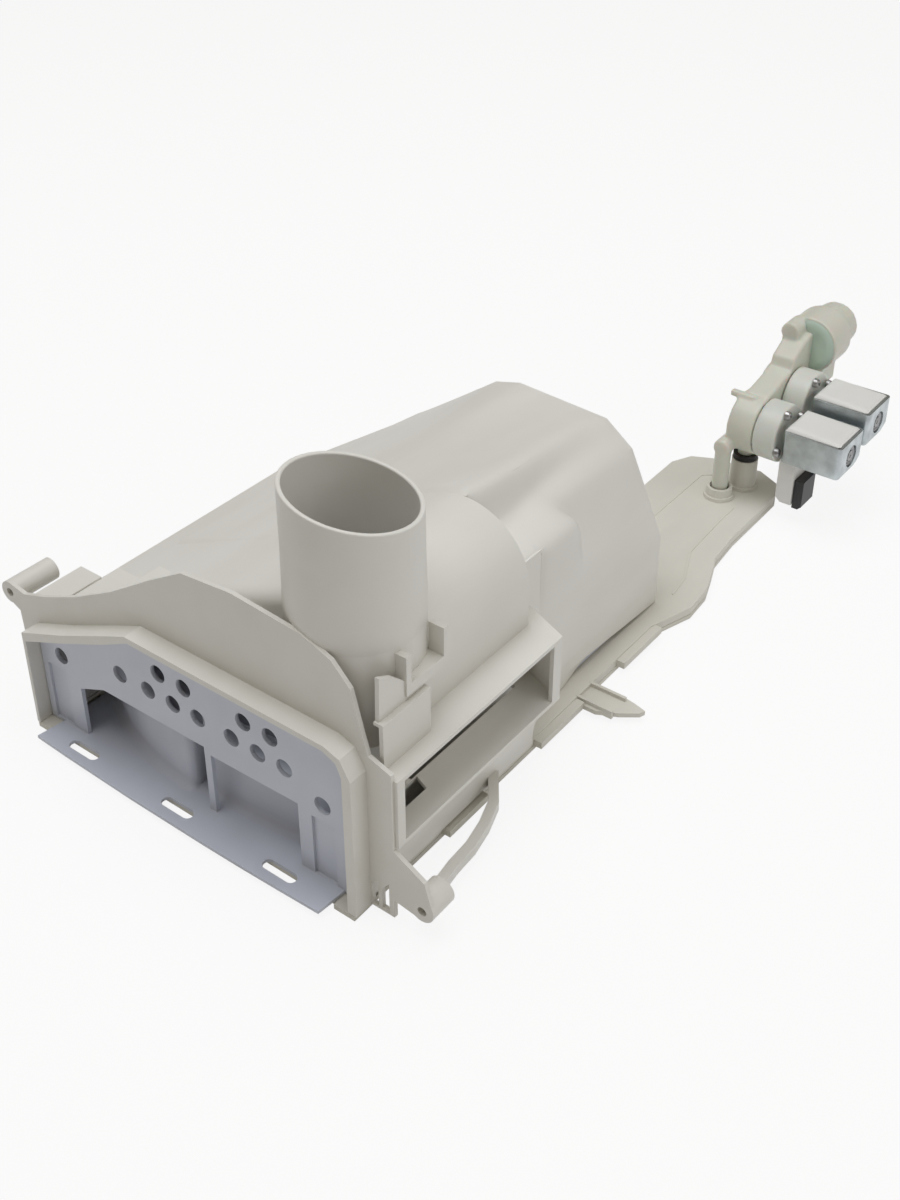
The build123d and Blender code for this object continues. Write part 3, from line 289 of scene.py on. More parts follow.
def roof_normals(reach):
    """Outward directions of the surface that a grid of reaches describes."""
    turns, depths = np.array(ROOF_TURNS), np.array(ROOF_DEPTHS)
    across = reach * np.cos(turns)
    up = reach * np.sin(turns)
    along = np.repeat(depths[:, None], len(turns), axis=1)
    places = np.stack((across, along, up), axis=-1)
    by_depth = np.gradient(places, axis=0)
    by_turn = np.gradient(places, axis=1)
    facing = np.cross(by_depth, by_turn)
    facing *= np.sign(facing[..., 0] * across + facing[..., 2] * up)[..., None]
    return facing / np.linalg.norm(facing, axis=-1, keepdims=True)


def around(field, edge=None):
    """The four neighbours of each cell of a grid."""
    padded = np.pad(field, 1, mode="edge") if edge is None else np.pad(field, 1, constant_values=edge)
    return np.array((padded[:-2, 1:-1], padded[2:, 1:-1], padded[1:-1, :-2], padded[1:-1, 2:]))


def evened(field):
    """Each cell halfway to the mean of its neighbours."""
    return 0.5 * field + 0.5 * around(field).mean(axis=0)


def rounded_path(low, high, radius, corner=5, side=8):
    """Points round a rectangle with rounded corners, in order."""
    middles = (
        (high[0] - radius, high[1] - radius, 0), (low[0] + radius, high[1] - radius, 90),
        (low[0] + radius, low[1] + radius, 180), (high[0] - radius, low[1] + radius, 270),
    )
    points = []
    for x, y, start in middles:
        turn_points = []
        for step in range(corner + 1):
            turn = math.radians(start + 90 * step / corner)
            turn_points.append(Vector((x + radius * math.cos(turn), y + radius * math.sin(turn))))
        if points:
            points += [points[-1].lerp(turn_points[0], step / side) for step in range(1, side)]
        points += turn_points
    points += [points[-1].lerp(points[0], step / side) for step in range(1, side)]
    return points


def drilled(body, cutter_mesh):
    """Cuts a hole for good."""
    cutter = bpy.data.objects.new("cutter", cutter_mesh)
    bpy.context.collection.objects.link(cutter)
    hole = body.modifiers.new("Hole", "BOOLEAN")
    hole.object = cutter
    hole.operation = "DIFFERENCE"
    graph = bpy.context.evaluated_depsgraph_get()
    cut = bpy.data.meshes.new_from_object(body.evaluated_get(graph))
    body.modifiers.clear()
    body.data = cut
    bpy.data.objects.remove(cutter)
    cut.set_sharp_from_angle(angle=math.radians(SHARP_DEGREES))


def solid(name, bm, material, sharp=SHARP_DEGREES):
    """An object from a mesh in the making, smooth but for its sharp edges."""
    bmesh.ops.recalc_face_normals(bm, faces=bm.faces)
    mesh = bpy.data.meshes.new(name)
    bm.to_mesh(mesh)
    bm.free()
    mesh.shade_smooth()
    mesh.set_sharp_from_angle(angle=math.radians(sharp))
    mesh.materials.append(material)
    made = bpy.data.objects.new(name, mesh)
    bpy.context.collection.objects.link(made)
    return made


def band(bm, low, high):
    """Faces between two closed rings of points, or between a ring and a single point."""
    steps = max(len(low), len(high))
    for step in range(steps):
        after = (step + 1) % steps
        if len(high) == 1:
            bm.faces.new((low[step], low[after], high[0]))
        elif len(low) == 1:
            bm.faces.new((low[0], high[after], high[step]))
        else:
            bm.faces.new((low[step], low[after], high[after], high[step]))


def closed_grid(bm, rows):
    """Faces over a grid of points, and one face across its rim."""
    for first, second in zip(rows, rows[1:]):
        for step in range(len(first) - 1):
            bm.faces.new((first[step], second[step], second[step + 1], first[step + 1]))
    near = [row[0] for row in rows]
    far = [row[-1] for row in reversed(rows[:-1])]
    bm.faces.new(list(reversed(near + rows[-1][1:] + far + rows[0][-2:0:-1])))


def lathe(profile, steps, place, ring=False):
    """A turned body from (radius, height) points, closed at both ends or, as a ring, onto itself."""
    bm = bmesh.new()
    rings = []
    turns = [math.tau * step / steps for step in range(steps)]
    for radius, height in profile:
        if radius == 0:
            rings.append([bm.verts.new((0, 0, height))])
        else:
            rings.append([bm.verts.new((radius * math.cos(t), radius * math.sin(t), height)) for t in turns])
    for low, high in zip(rings, rings[1:] + (rings[:1] if ring else [])):
        band(bm, low, high)
    for end in () if ring else (rings[0], rings[-1]):
        if len(end) > 1:
            bm.faces.new(end)
    bmesh.ops.transform(bm, matrix=place, verts=bm.verts)
    return bm


def group(name, inputs):
    """A new group for a surface: its tree, its inputs and the node that takes its results."""
    tree = bpy.data.node_groups.new(name, "ShaderNodeTree")
    for label, value in inputs.items():
        kind = "NodeSocketColor" if isinstance(value, tuple) else "NodeSocketFloat"
        tree.interface.new_socket(label, in_out="INPUT", socket_type=kind).default_value = value
    tree.interface.new_socket("Color", in_out="OUTPUT", socket_type="NodeSocketColor")
    tree.interface.new_socket("Roughness", in_out="OUTPUT", socket_type="NodeSocketFloat")
    tree.interface.new_socket("Height", in_out="OUTPUT", socket_type="NodeSocketFloat")
    return tree, tree.nodes.new("NodeGroupInput").outputs, tree.nodes.new("NodeGroupOutput")


def feed(tree, taker, inputs):
    """Gives each input of a node its value, or the output that drives it."""
    for key, value in inputs.items():
        if isinstance(value, bpy.types.NodeSocket):
            tree.links.new(value, taker.inputs[key])
        else:
            taker.inputs[key].default_value = value


def node(tree, kind, inputs=None, **settings):
    """A shader node with its settings and inputs."""
    made = tree.nodes.new(kind)
    for key, value in settings.items():
        setattr(made, key, value)
    feed(tree, made, inputs or {})
    return made


def reckoned(tree, operation, *terms):
    """What a Math node makes of its terms."""
    return node(tree, "ShaderNodeMath", dict(enumerate(terms)), operation=operation).outputs[0]


def spread(tree, value, low, high, start=0.0, end=1.0):
    """A value whose range from low to high is brought to that from start to end."""
    inputs = {"Value": value, "From Min": low, "From Max": high, "To Min": start, "To Max": end}
    return node(tree, "ShaderNodeMapRange", inputs).outputs["Result"]


def mixed(tree, factor, first, second, blend="MIX"):
    """Two colours mixed."""
    inputs = {"Factor": factor, "A": first, "B": second}
    return node(tree, "ShaderNodeMix", inputs, data_type="RGBA", blend_type=blend).outputs["Result"]


def moulded_group():
    """Moulded plastic: slow drift of tone, flow streaks, fine grain and painted shade in the corners."""
    name = "Moulded plastic"
    if name in bpy.data.node_groups:
        return bpy.data.node_groups[name]
    inputs = {
        "Color": (0.8, 0.8, 0.75, 1),
        "Shade": (0.7, 0.7, 0.65, 1),
        "Drift": 0.5,
        "Drift Scale": 14.0,
        "Grain Scale": 1500.0,
        "Grain Depth": 0.12,
        "Roughness": 0.45,
        "Corner Shade": 0.25,
    }
    tree, given, end = group(name, inputs)
    place = node(tree, "ShaderNodeTexCoord").outputs["Object"]
    drift = node(tree, "ShaderNodeTexNoise", {"Vector": place, "Scale": given["Drift Scale"], "Detail": 3.0})
    stretched = node(tree, "ShaderNodeMapping", {"Vector": place, "Scale": (1.0, 0.25, 1.0)})
    streaks = node(tree, "ShaderNodeTexNoise", {"Vector": stretched.outputs["Vector"], "Scale": 55.0})
    grain = node(tree, "ShaderNodeTexNoise", {"Vector": place, "Scale": given["Grain Scale"], "Detail": 2.0})
    both = reckoned(tree, "MULTIPLY", drift.outputs["Fac"], streaks.outputs["Fac"])
    amount = reckoned(tree, "MULTIPLY", spread(tree, both, 0.15, 0.38), given["Drift"])
    tone = mixed(tree, amount, given["Color"], given["Shade"])
    # Painted shade: the occlusion of nearby surfaces darkens corners and creases towards a warm shade colour.
    corner = node(tree, "ShaderNodeAmbientOcclusion", {"Distance": CORNER_REACH}, samples=6)
    shade_share = spread(tree, corner.outputs["AO"], 0.35, 0.85, 1.0, 0.0)
    corner_shade = reckoned(tree, "MULTIPLY", shade_share, given["Corner Shade"])
    results = {
        "Color": mixed(tree, corner_shade, tone, CORNER_SHADE_COLOUR, "MULTIPLY"),
        "Roughness": reckoned(tree, "MULTIPLY_ADD", drift.outputs["Fac"], 0.18, given["Roughness"]),
        "Height": reckoned(tree, "MULTIPLY", grain.outputs["Fac"], given["Grain Depth"]),
    }
    feed(tree, end, results)
    return tree


def plated_group():
    """Zinc-plated steel: spangle, rolling lines and dull patches."""
    name = "Plated steel"
    if name in bpy.data.node_groups:
        return bpy.data.node_groups[name]
    inputs = {
        "Color": (0.6, 0.65, 0.67, 1),
        "Patch Color": (0.45, 0.5, 0.52, 1),
        "Spangle Scale": 420.0,
        "Roughness": 0.32,
    }
    tree, given, end = group(name, inputs)
    place = node(tree, "ShaderNodeTexCoord").outputs["Object"]
    spangle = node(tree, "ShaderNodeTexVoronoi", {"Vector": place, "Scale": given["Spangle Scale"]})
    patches = node(tree, "ShaderNodeTexNoise", {"Vector": place, "Scale": 130.0, "Detail": 4.0})
    rolled = node(tree, "ShaderNodeMapping", {"Vector": place, "Scale": (0.06, 1.0, 1.0)})
    lines = node(tree, "ShaderNodeTexNoise", {"Vector": rolled.outputs["Vector"], "Scale": 2600.0})
    dull = spread(tree, patches.outputs["Fac"], 0.35, 0.7)
    results = {
        "Color": mixed(tree, dull, given["Color"], given["Patch Color"]),
        "Roughness": reckoned(tree, "MULTIPLY_ADD", patches.outputs["Fac"], 0.22, given["Roughness"]),
        "Height": reckoned(tree, "MULTIPLY_ADD", spangle.outputs["Distance"], 0.3, lines.outputs["Fac"]),
    }
    feed(tree, end, results)
    return tree


def dressed(name, surface_group, values, bump, **shader):
    """A material whose surface comes from one of the groups."""
    made = bpy.data.materials.new(name)
    made.use_nodes = True
    tree = made.node_tree
    surface = node(tree, "ShaderNodeGroup", values, node_tree=surface_group)
    relief = {"Strength": bump, "Distance": RELIEF_DEPTH, "Height": surface.outputs["Height"]}
    inputs = {
        "Base Color": surface.outputs["Color"],
        "Roughness": surface.outputs["Roughness"],
        "Normal": node(tree, "ShaderNodeBump", relief).outputs["Normal"],
    }
    inputs.update((key.replace("_", " "), value) for key, value in shader.items())
    feed(tree, tree.nodes["Principled BSDF"], inputs)
    return made


def plastic(
    name, colour, shade=None, drift=0.5, scale=14.0, grain=1500.0, depth=0.12, rough=0.42, corner_shade=0.25, **shader
):
    """Moulded plastic with its own values."""
    values = {
        "Color": (*colour, 1),
        "Shade": (*(shade or darker(colour)), 1),
        "Drift": drift,
        "Drift Scale": scale,
        "Grain Scale": grain,
        "Grain Depth": depth,
        "Roughness": rough,
        # Strength of the painted shade in the corners.
        "Corner Shade": corner_shade,
    }
    return dressed(name, moulded_group(), values, PLASTIC_BUMP, **shader)


def steel(name, colour, patch, scale=420.0, rough=0.3):
    """Plated steel with its own values."""
    values = {"Color": (*colour, 1), "Patch Color": (*patch, 1), "Spangle Scale": scale, "Roughness": rough}
    return dressed(name, plated_group(), values, STEEL_BUMP, Metallic=1.0)


def coat(node_name, material):
    """Gives a CAD node its finish."""
    mesh = NODES[node_name].data
    mesh.materials.clear()
    mesh.materials.append(material)


def eased(node_name, width):
    """Rounds the sharp edges of a CAD node as moulding leaves them."""
    body = NODES[node_name]
    weld = body.modifiers.new("Join", "WELD")
    weld.merge_threshold = WELD_REACH
    flat = body.modifiers.new("Flats", "DECIMATE")
    flat.decimate_type = "DISSOLVE"
    flat.angle_limit = math.radians(FLAT_DEGREES)
    rounding = body.modifiers.new("Rounded edges", "BEVEL")
    rounding.width = width
    rounding.segments = 2
    rounding.limit_method = "ANGLE"
    rounding.angle_limit = math.radians(EDGE_DEGREES)
    rounding.harden_normals = True


def softened(node_name, voxel, rounds):
    """Melts the corners of a CAD node into the full radii of thick nylon."""
    body = NODES[node_name]
    remesh = body.modifiers.new("Skin", "REMESH")
    remesh.mode = "VOXEL"
    remesh.voxel_size = voxel
    remesh.use_smooth_shade = True
    melt = body.modifiers.new("Radii", "SMOOTH")
    melt.factor = 0.5
    melt.iterations = rounds


class DISPENSER_OT_housing(bpy.types.Operator):
    """Finish of the housing"""

    bl_idname = "dispenser.housing"
    bl_label = "Housing"

    def execute(self, context):
        colours = finishes()
        ivory = plastic("Housing plastic", colours.housing[:], colours.housing_shade[:], Coat_Weight=0.08)
        coat("housing", ivory)
        self.roof_skin(ivory)
        place = Matrix.Translation((SPIGOT_X, SPIGOT_Y, 0))
        root = lathe(SPIGOT_BLEND, SPIGOT_STEPS, place, ring=True)
        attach(solid("spigot_blend", root, ivory), "housing")
        return {"FINISHED"}

    def roof_skin(self, material):
        """Outer skin of the hopper's roof, whose folds run into each other in soft hollows."""
        reach = self.roof_reach()
        kept = ~np.isnan(reach)
        share = self.rim_share(kept)
        hard = np.where(kept, reach, np.nanmean(reach))
        crest = np.maximum(hard, around(hard).max(axis=0) - CREST_SLACK)
        soft = hard
        for _ in range(CREST_ROUNDS):
            soft = np.where(share > 0, np.maximum(evened(soft), crest), hard)
        for _ in range(FREE_ROUNDS):
            soft = np.where(share > 0, evened(soft), hard)
        broad = soft
        for _ in range(SHADING_ROUNDS):
            broad = np.where(share > 0, evened(broad), hard)
        cover = np.where(kept, np.maximum(crest - soft, 0), 0)
        for _ in range(COVER_SPREAD):
            cover = np.maximum(cover, around(cover).max(axis=0))
        for _ in range(COVER_ROUNDS):
            cover = evened(cover)
        lifted = soft + cover + SKIN_LIFT
        final = hard + share * (lifted - hard) - (1 - share) * RIM_SINK
        bm = bmesh.new()
        made = {}
        for (row, column), radius in np.ndenumerate(final):
            if kept[row, column]:
                turn = ROOF_TURNS[column]
                place = (radius * math.cos(turn), ROOF_DEPTHS[row], ROOF_AXIS_Z + radius * math.sin(turn))
                made[row, column] = bm.verts.new(place)
        for row, column in made:
            corners = [made.get((row + a, column + b)) for a, b in ((0, 0), (0, 1), (1, 1), (1, 0))]
            if all(corners):
                bm.faces.new(corners)
        skin = solid("roof_skin", bm, material, sharp=180)
        share = share[..., None]
        facing = roof_normals(broad) * share + roof_normals(final) * (1 - share)
        normals = [Vector(facing[cell]).normalized() for cell in made]
        skin.data.normals_split_custom_set_from_vertices(normals)
        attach(skin, "housing")

    def rim_share(self, kept):
        """Share of the lift in each cell: none at the rim of the skin, all of it a few cells in."""
        depth = np.zeros(kept.shape)
        inside = kept
        for _ in range(RIM_CELLS):
            inside = inside & np.all(around(inside, False), axis=0)
            depth += inside
        share = depth / RIM_CELLS
        return share * share * (3 - 2 * share)

    def roof_reach(self):
        """Distance of the roof's outer face from a line along the hopper, by angle and depth."""
        bm = bmesh.new()
        bm.from_mesh(NODES["housing"].data)
        tree = BVHTree.FromBMesh(bm)
        bm.free()
        reach = np.full((len(ROOF_DEPTHS), len(ROOF_TURNS)), np.nan)
        for row, depth in enumerate(ROOF_DEPTHS):
            first = HOOD_TURN if depth < HOOD_END_Y else ROOF_REAR_TURN
            if depth < ROOF_STEP_Y:
                first = ROOF_FRONT_TURN
            middle = Vector((0, depth, ROOF_AXIS_Z))
            for column, turn in enumerate(ROOF_TURNS):
                if turn >= first:
                    ray = Vector((math.cos(turn), 0, math.sin(turn)))
                    for shift in RAY_SHIFTS:
                        hit = tree.ray_cast(middle + Vector((0, shift, shift)) + ray * RAY_REACH, -ray)[0]
                        if hit is not None:
                            reach[row, column] = math.hypot(hit.x - middle.x, hit.z - middle.z)
                            break
        return reach


class DISPENSER_OT_distributor(bpy.types.Operator):
    """Finish of the water distributor"""

    bl_idname = "dispenser.distributor"
    bl_label = "Distributor"

    def execute(self, context):
        cream = plastic("Tray plastic", finishes().tray[:], rough=0.46, drift=0.6)
        eased("distributor_base", TRAY_EDGE)
        coat("distributor_base", cream)
        coat("distributor_cover", plastic("Cover plastic", finishes().tray[:], rough=0.5, scale=9.0))
        return {"FINISHED"}


class DISPENSER_OT_drawer(bpy.types.Operator):
    """Finish of the drawer and its siphon cap"""

    bl_idname = "dispenser.drawer"
    bl_label = "Drawer"

    def execute(self, context):
        blue = finishes().drawer[:]
        # The drawer's plastic takes a stronger painted shade in its corners.
        coat("drawer_body", plastic("Drawer plastic", blue, rough=0.34, depth=0.06, corner_shade=0.35))
        coat("siphon_cap", plastic("Siphon plastic", blue, rough=0.3, depth=0.05, scale=30.0))
        eased("drawer_body", DRAWER_EDGE)
        self.foot_fillet("drawer_fillet_main", MAIN_FOOT, blue)
        self.foot_fillet("drawer_fillet_side", SIDE_FOOT, blue)
        return {"FINISHED"}

    def foot_fillet(self, name, foot, blue):
        """Hollow fillet where a compartment's bowed front meets the floor of the drawer."""
        path = bow(foot, FOOT_STEPS)
        if foot is MAIN_FOOT:
            path = [point for point in path if point.x < MAIN_FOOT_END]
            middle = path[-1] + Vector((0, CORNER_RADIUS, 0))
            for turn in (math.radians(degrees) for degrees in range(15, 90, 15)):
                path.append(middle + CORNER_RADIUS * Vector((math.sin(turn), -math.cos(turn), 0)))
        bm = bmesh.new()
        rows = []
        for index, point in enumerate(path):
            before = path[max(index - 1, 0)]
            after = path[min(index + 1, len(path) - 1)]
            along = (after - before).normalized()
            out = Vector((along.y, -along.x, 0))
            taper = min(1.0, (min(index, len(path) - 1 - index) + FILLET_TIP) / FILLET_ENDS)
            radius = fittings().foot_radius * math.sin(math.pi / 2 * taper)
            row = []
            for step in range(FILLET_STEPS + 1):
                turn = math.pi / 2 * step / FILLET_STEPS
                away = radius * (1 - math.sin(turn))
                up = radius * (1 - math.cos(turn))
                row.append(bm.verts.new(point + out * away + Vector((0, 0, up))))
            row.append(bm.verts.new(point - out * FILLET_ROOT))
            rows.append(row)
        for first, second in zip(rows, rows[1:]):
            band(bm, first, second)
        bm.faces.new(rows[0])
        bm.faces.new(rows[-1])
        # The fillet takes the same stronger painted shade in its corners as the drawer.
        made = solid(name, bm, plastic(name + " plastic", blue, rough=0.34, depth=0.06, corner_shade=0.35))
        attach(made, "drawer")


class DISPENSER_OT_valve(bpy.types.Operator):
    """Finish of the valve body, its inlet parts and its seals"""

    bl_idname = "dispenser.valve"
    bl_label = "Valve"

    def execute(self, context):
        colours = finishes()
        nylon = plastic(
            "Natural nylon", colours.valve[:], darker(colours.valve, 0.86), scale=45.0, rough=0.3,
            Subsurface_Weight=0.35, Subsurface_Scale=0.004, Transmission_Weight=0.06,
        )
        coat("valve_body", nylon)
        softened("valve_body", VALVE_VOXEL, VALVE_ROUNDS)
        green = plastic(
            "Green nylon", colours.regulator[:], scale=60.0, rough=0.32,
            Subsurface_Weight=0.4, Subsurface_Radius=(0.8, 1.0, 0.8), Subsurface_Scale=0.004,
        )
        shoulder = lathe(INLET_SHOULDER, INLET_STEPS, Matrix.Translation(INLET_PLACE) @ TO_FRONT)
        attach(solid("inlet_shoulder", shoulder, green), "housing")
        coat("inlet_filter", plastic("Filter mesh", (0.7, 0.7, 0.62), grain=2600.0, depth=0.8, rough=0.4))
        coat("flow_regulator", plastic("Regulator plastic", colours.regulator[:], scale=60.0, rough=0.35))
        black = colours.black[:]
        rubber = plastic("Seal rubber", black, (0.03, 0.03, 0.03), scale=80.0, rough=0.55, depth=0.3)
        for name in ("outlet_seal_front", "outlet_seal_rear"):
            coat(name, rubber)
        membrane = plastic("Membrane rubber", (0.02, 0.02, 0.02), scale=120.0, rough=0.6, depth=0.2)
        for name in ("diaphragm_front", "diaphragm_rear"):
            coat(name, membrane)
        return {"FINISHED"}


class DISPENSER_OT_solenoids(bpy.types.Operator):
    """Finish of the two solenoids"""

    bl_idname = "dispenser.solenoids"
    bl_label = "Solenoids"

    def execute(self, context):
        colours = finishes()
        pale = plastic(
            "Bonnet nylon", colours.bonnet[:], darker(colours.bonnet, 0.9), scale=50.0, rough=0.3,
            Subsurface_Weight=0.3, Subsurface_Scale=0.004,
        )
        zinc = steel("Zinc plate", colours.zinc[:], darker(colours.zinc, 0.72))
        screws = steel("Screw steel", (0.5, 0.5, 0.5), (0.3, 0.3, 0.3), 900.0, 0.28)
        white = plastic("Coil casing", colours.coil[:], (0.82, 0.82, 0.8), scale=70.0, rough=0.38, depth=0.08)
        core = steel("Core steel", (0.42, 0.42, 0.43), (0.3, 0.3, 0.31), 700.0, 0.3)
        tin = steel("Tinned brass", (0.72, 0.71, 0.68), (0.6, 0.58, 0.52), 800.0, 0.22)
        finish = {
            "bonnet": pale, "bonnet_screws": screws, "coil_yoke": zinc, "coil_bobbin": white, "plunger": core,
            "plunger_spring": core, "coil_terminals": tin,
        }
        for side, (y, z) in COIL_AXES.items():
            for name, material in finish.items():
                coat(name + "_" + side, material)
            softened("bonnet_" + side, BONNET_VOXEL, BONNET_ROUNDS)
            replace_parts(self.yoke("yoke_" + side, y, z, zinc), "coil_yoke_" + side)
            self.casing("coil_casing_" + side, y, z, white)
            self.pole("pole_" + side, y, z, core)
            for number, degrees in enumerate(SCREW_DEGREES, 1):
                turn = math.radians(degrees)
                across, up = y + SCREW_CIRCLE * math.cos(turn), z + SCREW_CIRCLE * math.sin(turn)
                self.cross_head("screw_%s_%d" % (side, number), across, up, degrees, screws)
        return {"FINISHED"}

    def yoke(self, name, y, z, material):
        """Bent sheet round the coil, with a round window for the pole and one lower corner cut off."""
        half = YOKE_HALF_WIDTH - YOKE_SHEET
        near, far = YOKE_NEAR + YOKE_SHEET, YOKE_FAR - YOKE_SHEET
        outer = rounded_path((YOKE_NEAR, y - YOKE_HALF_WIDTH), (YOKE_FAR, y + YOKE_HALF_WIDTH), YOKE_CORNER)
        inner = rounded_path((near, y - half), (far, y + half), YOKE_CORNER - YOKE_SHEET)
        bm = bmesh.new()
        rings = []
        for path, top in ((outer, False), (outer, True), (inner, True), (inner, False)):
            ring = []
            for point in path:
                cut = max(0.0, (point.y - (y + YOKE_CUT_START)) * YOKE_CUT_SLOPE)
                height = YOKE_HALF_HEIGHT if top else cut - YOKE_HALF_HEIGHT
                ring.append(bm.verts.new((point.x, point.y, z + height)))
            rings.append(ring)
        for low, high in zip(rings, rings[1:] + rings[:1]):
            band(bm, low, high)
        made = solid(name, bm, material)
        window = fittings().window_radius
        bore = lathe([(window, x) for x in WINDOW_SPAN], POLE_STEPS, self.pole_place(y, z))
        bmesh.ops.recalc_face_normals(bore, faces=bore.faces)
        cutter = bpy.data.meshes.new("cutter")
        bore.to_mesh(cutter)
        bore.free()
        drilled(made, cutter)
        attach(made, "housing")
        return made

    def casing(self, name, y, z, material):
        """Moulded casing of the coil where it swells out of the open top of the yoke."""
        bm = bmesh.new()
        rows = []
        for i in range(GRID_STEPS + 1):
            row = []
            along = CASING_LENGTH * i / GRID_STEPS
            crown = CASING_CROWN - CASING_FALL * i / GRID_STEPS
            for j in range(GRID_STEPS + 1):
                across = CASING_HALF_WIDTH * (2 * j / GRID_STEPS - 1)
                edge = min(along, CASING_LENGTH - along, CASING_HALF_WIDTH - abs(across)) / CASING_ROUND
                rise = crown * math.sqrt(max(0.0, 1 - (1 - min(1.0, edge)) ** 2))
                row.append(bm.verts.new((YOKE_NEAR + along, y + across, z + CASING_FOOT + rise)))
            rows.append(row)
        closed_grid(bm, rows)
        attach(solid(name, bm, material, sharp=50), "housing")

    def pole_place(self, y, z):
        """Place of the pole's axis, which points out of the yoke's end."""
        return Matrix.Translation((0, y + POLE_OFFSET[0], z + POLE_OFFSET[1])) @ TO_RIGHT

    def pole(self, name, y, z, material):
        """End of the fixed pole, staked into the yoke's window."""
        radius = fittings().window_radius - POLE_CLEARANCE
        inner = fittings().pole_radius
        flange = [(radius + out, x) for out, x in POLE_FLANGE]
        end = [(inner + out, x) for out, x in POLE_END]
        turned = lathe(flange + end + list(POLE_DIMPLE), POLE_STEPS, Matrix())
        for vert in turned.verts:
            if inner < math.hypot(vert.co.x, vert.co.y) < radius - STAKE_RIM:
                turn = math.atan2(vert.co.y, vert.co.x)
                vert.co.z -= STAKE_DEPTH * max(0.0, math.cos(STAKES * turn)) ** 3
        bmesh.ops.transform(turned, matrix=self.pole_place(y, z), verts=turned.verts)
        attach(solid(name, turned, material, sharp=28), "housing")

    def cross_head(self, name, y, z, degrees, material):
        """Pan head with a cross recess."""
        sizes = fittings()
        bm = bmesh.new()
        rows = []
        for i in range(GRID_STEPS + 1):
            row = []
            for j in range(GRID_STEPS + 1):
                u, v = 2 * i / GRID_STEPS - 1, 2 * j / GRID_STEPS - 1
                across, along = u * math.sqrt(1 - v * v / 2), v * math.sqrt(1 - u * u / 2)
                dome = math.sqrt(max(0.0, 1 - min(1.0, math.hypot(across, along)) ** 4))
                height = sizes.screw_height * (1 - SCREW_DOME + SCREW_DOME * dome)
                narrow, wide = sorted((abs(across), abs(along)))
                if narrow < RECESS_WIDTH and wide < RECESS_REACH:
                    height -= RECESS_DEPTH * (1 - max(0.0, wide - RECESS_FLAT))
                if max(abs(u), abs(v)) == 1:
                    height = 0.0
                row.append(bm.verts.new((across * sizes.screw_radius, along * sizes.screw_radius, height)))
            rows.append(row)
        closed_grid(bm, rows)
        turned = Matrix.Rotation(math.radians(degrees + RECESS_DEGREES), 4, "X")
        place = Matrix.Translation((BONNET_FACE, y, z)) @ turned @ TO_RIGHT
        bmesh.ops.transform(bm, matrix=place, verts=bm.verts)
        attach(solid(name, bm, material, sharp=40), "housing")


class DISPENSER_OT_connector(bpy.types.Operator):
    """Finish of the connector and its plug"""

    bl_idname = "dispenser.connector"
    bl_label = "Connector"

    def execute(self, context):
        coat("connector_block", plastic("Connector plastic", finishes().coil[:], scale=60.0, rough=0.4))
        coat("connector_plug", plastic("Plug plastic", finishes().black[:], (0.03, 0.03, 0.03), rough=0.35))
        return {"FINISHED"}


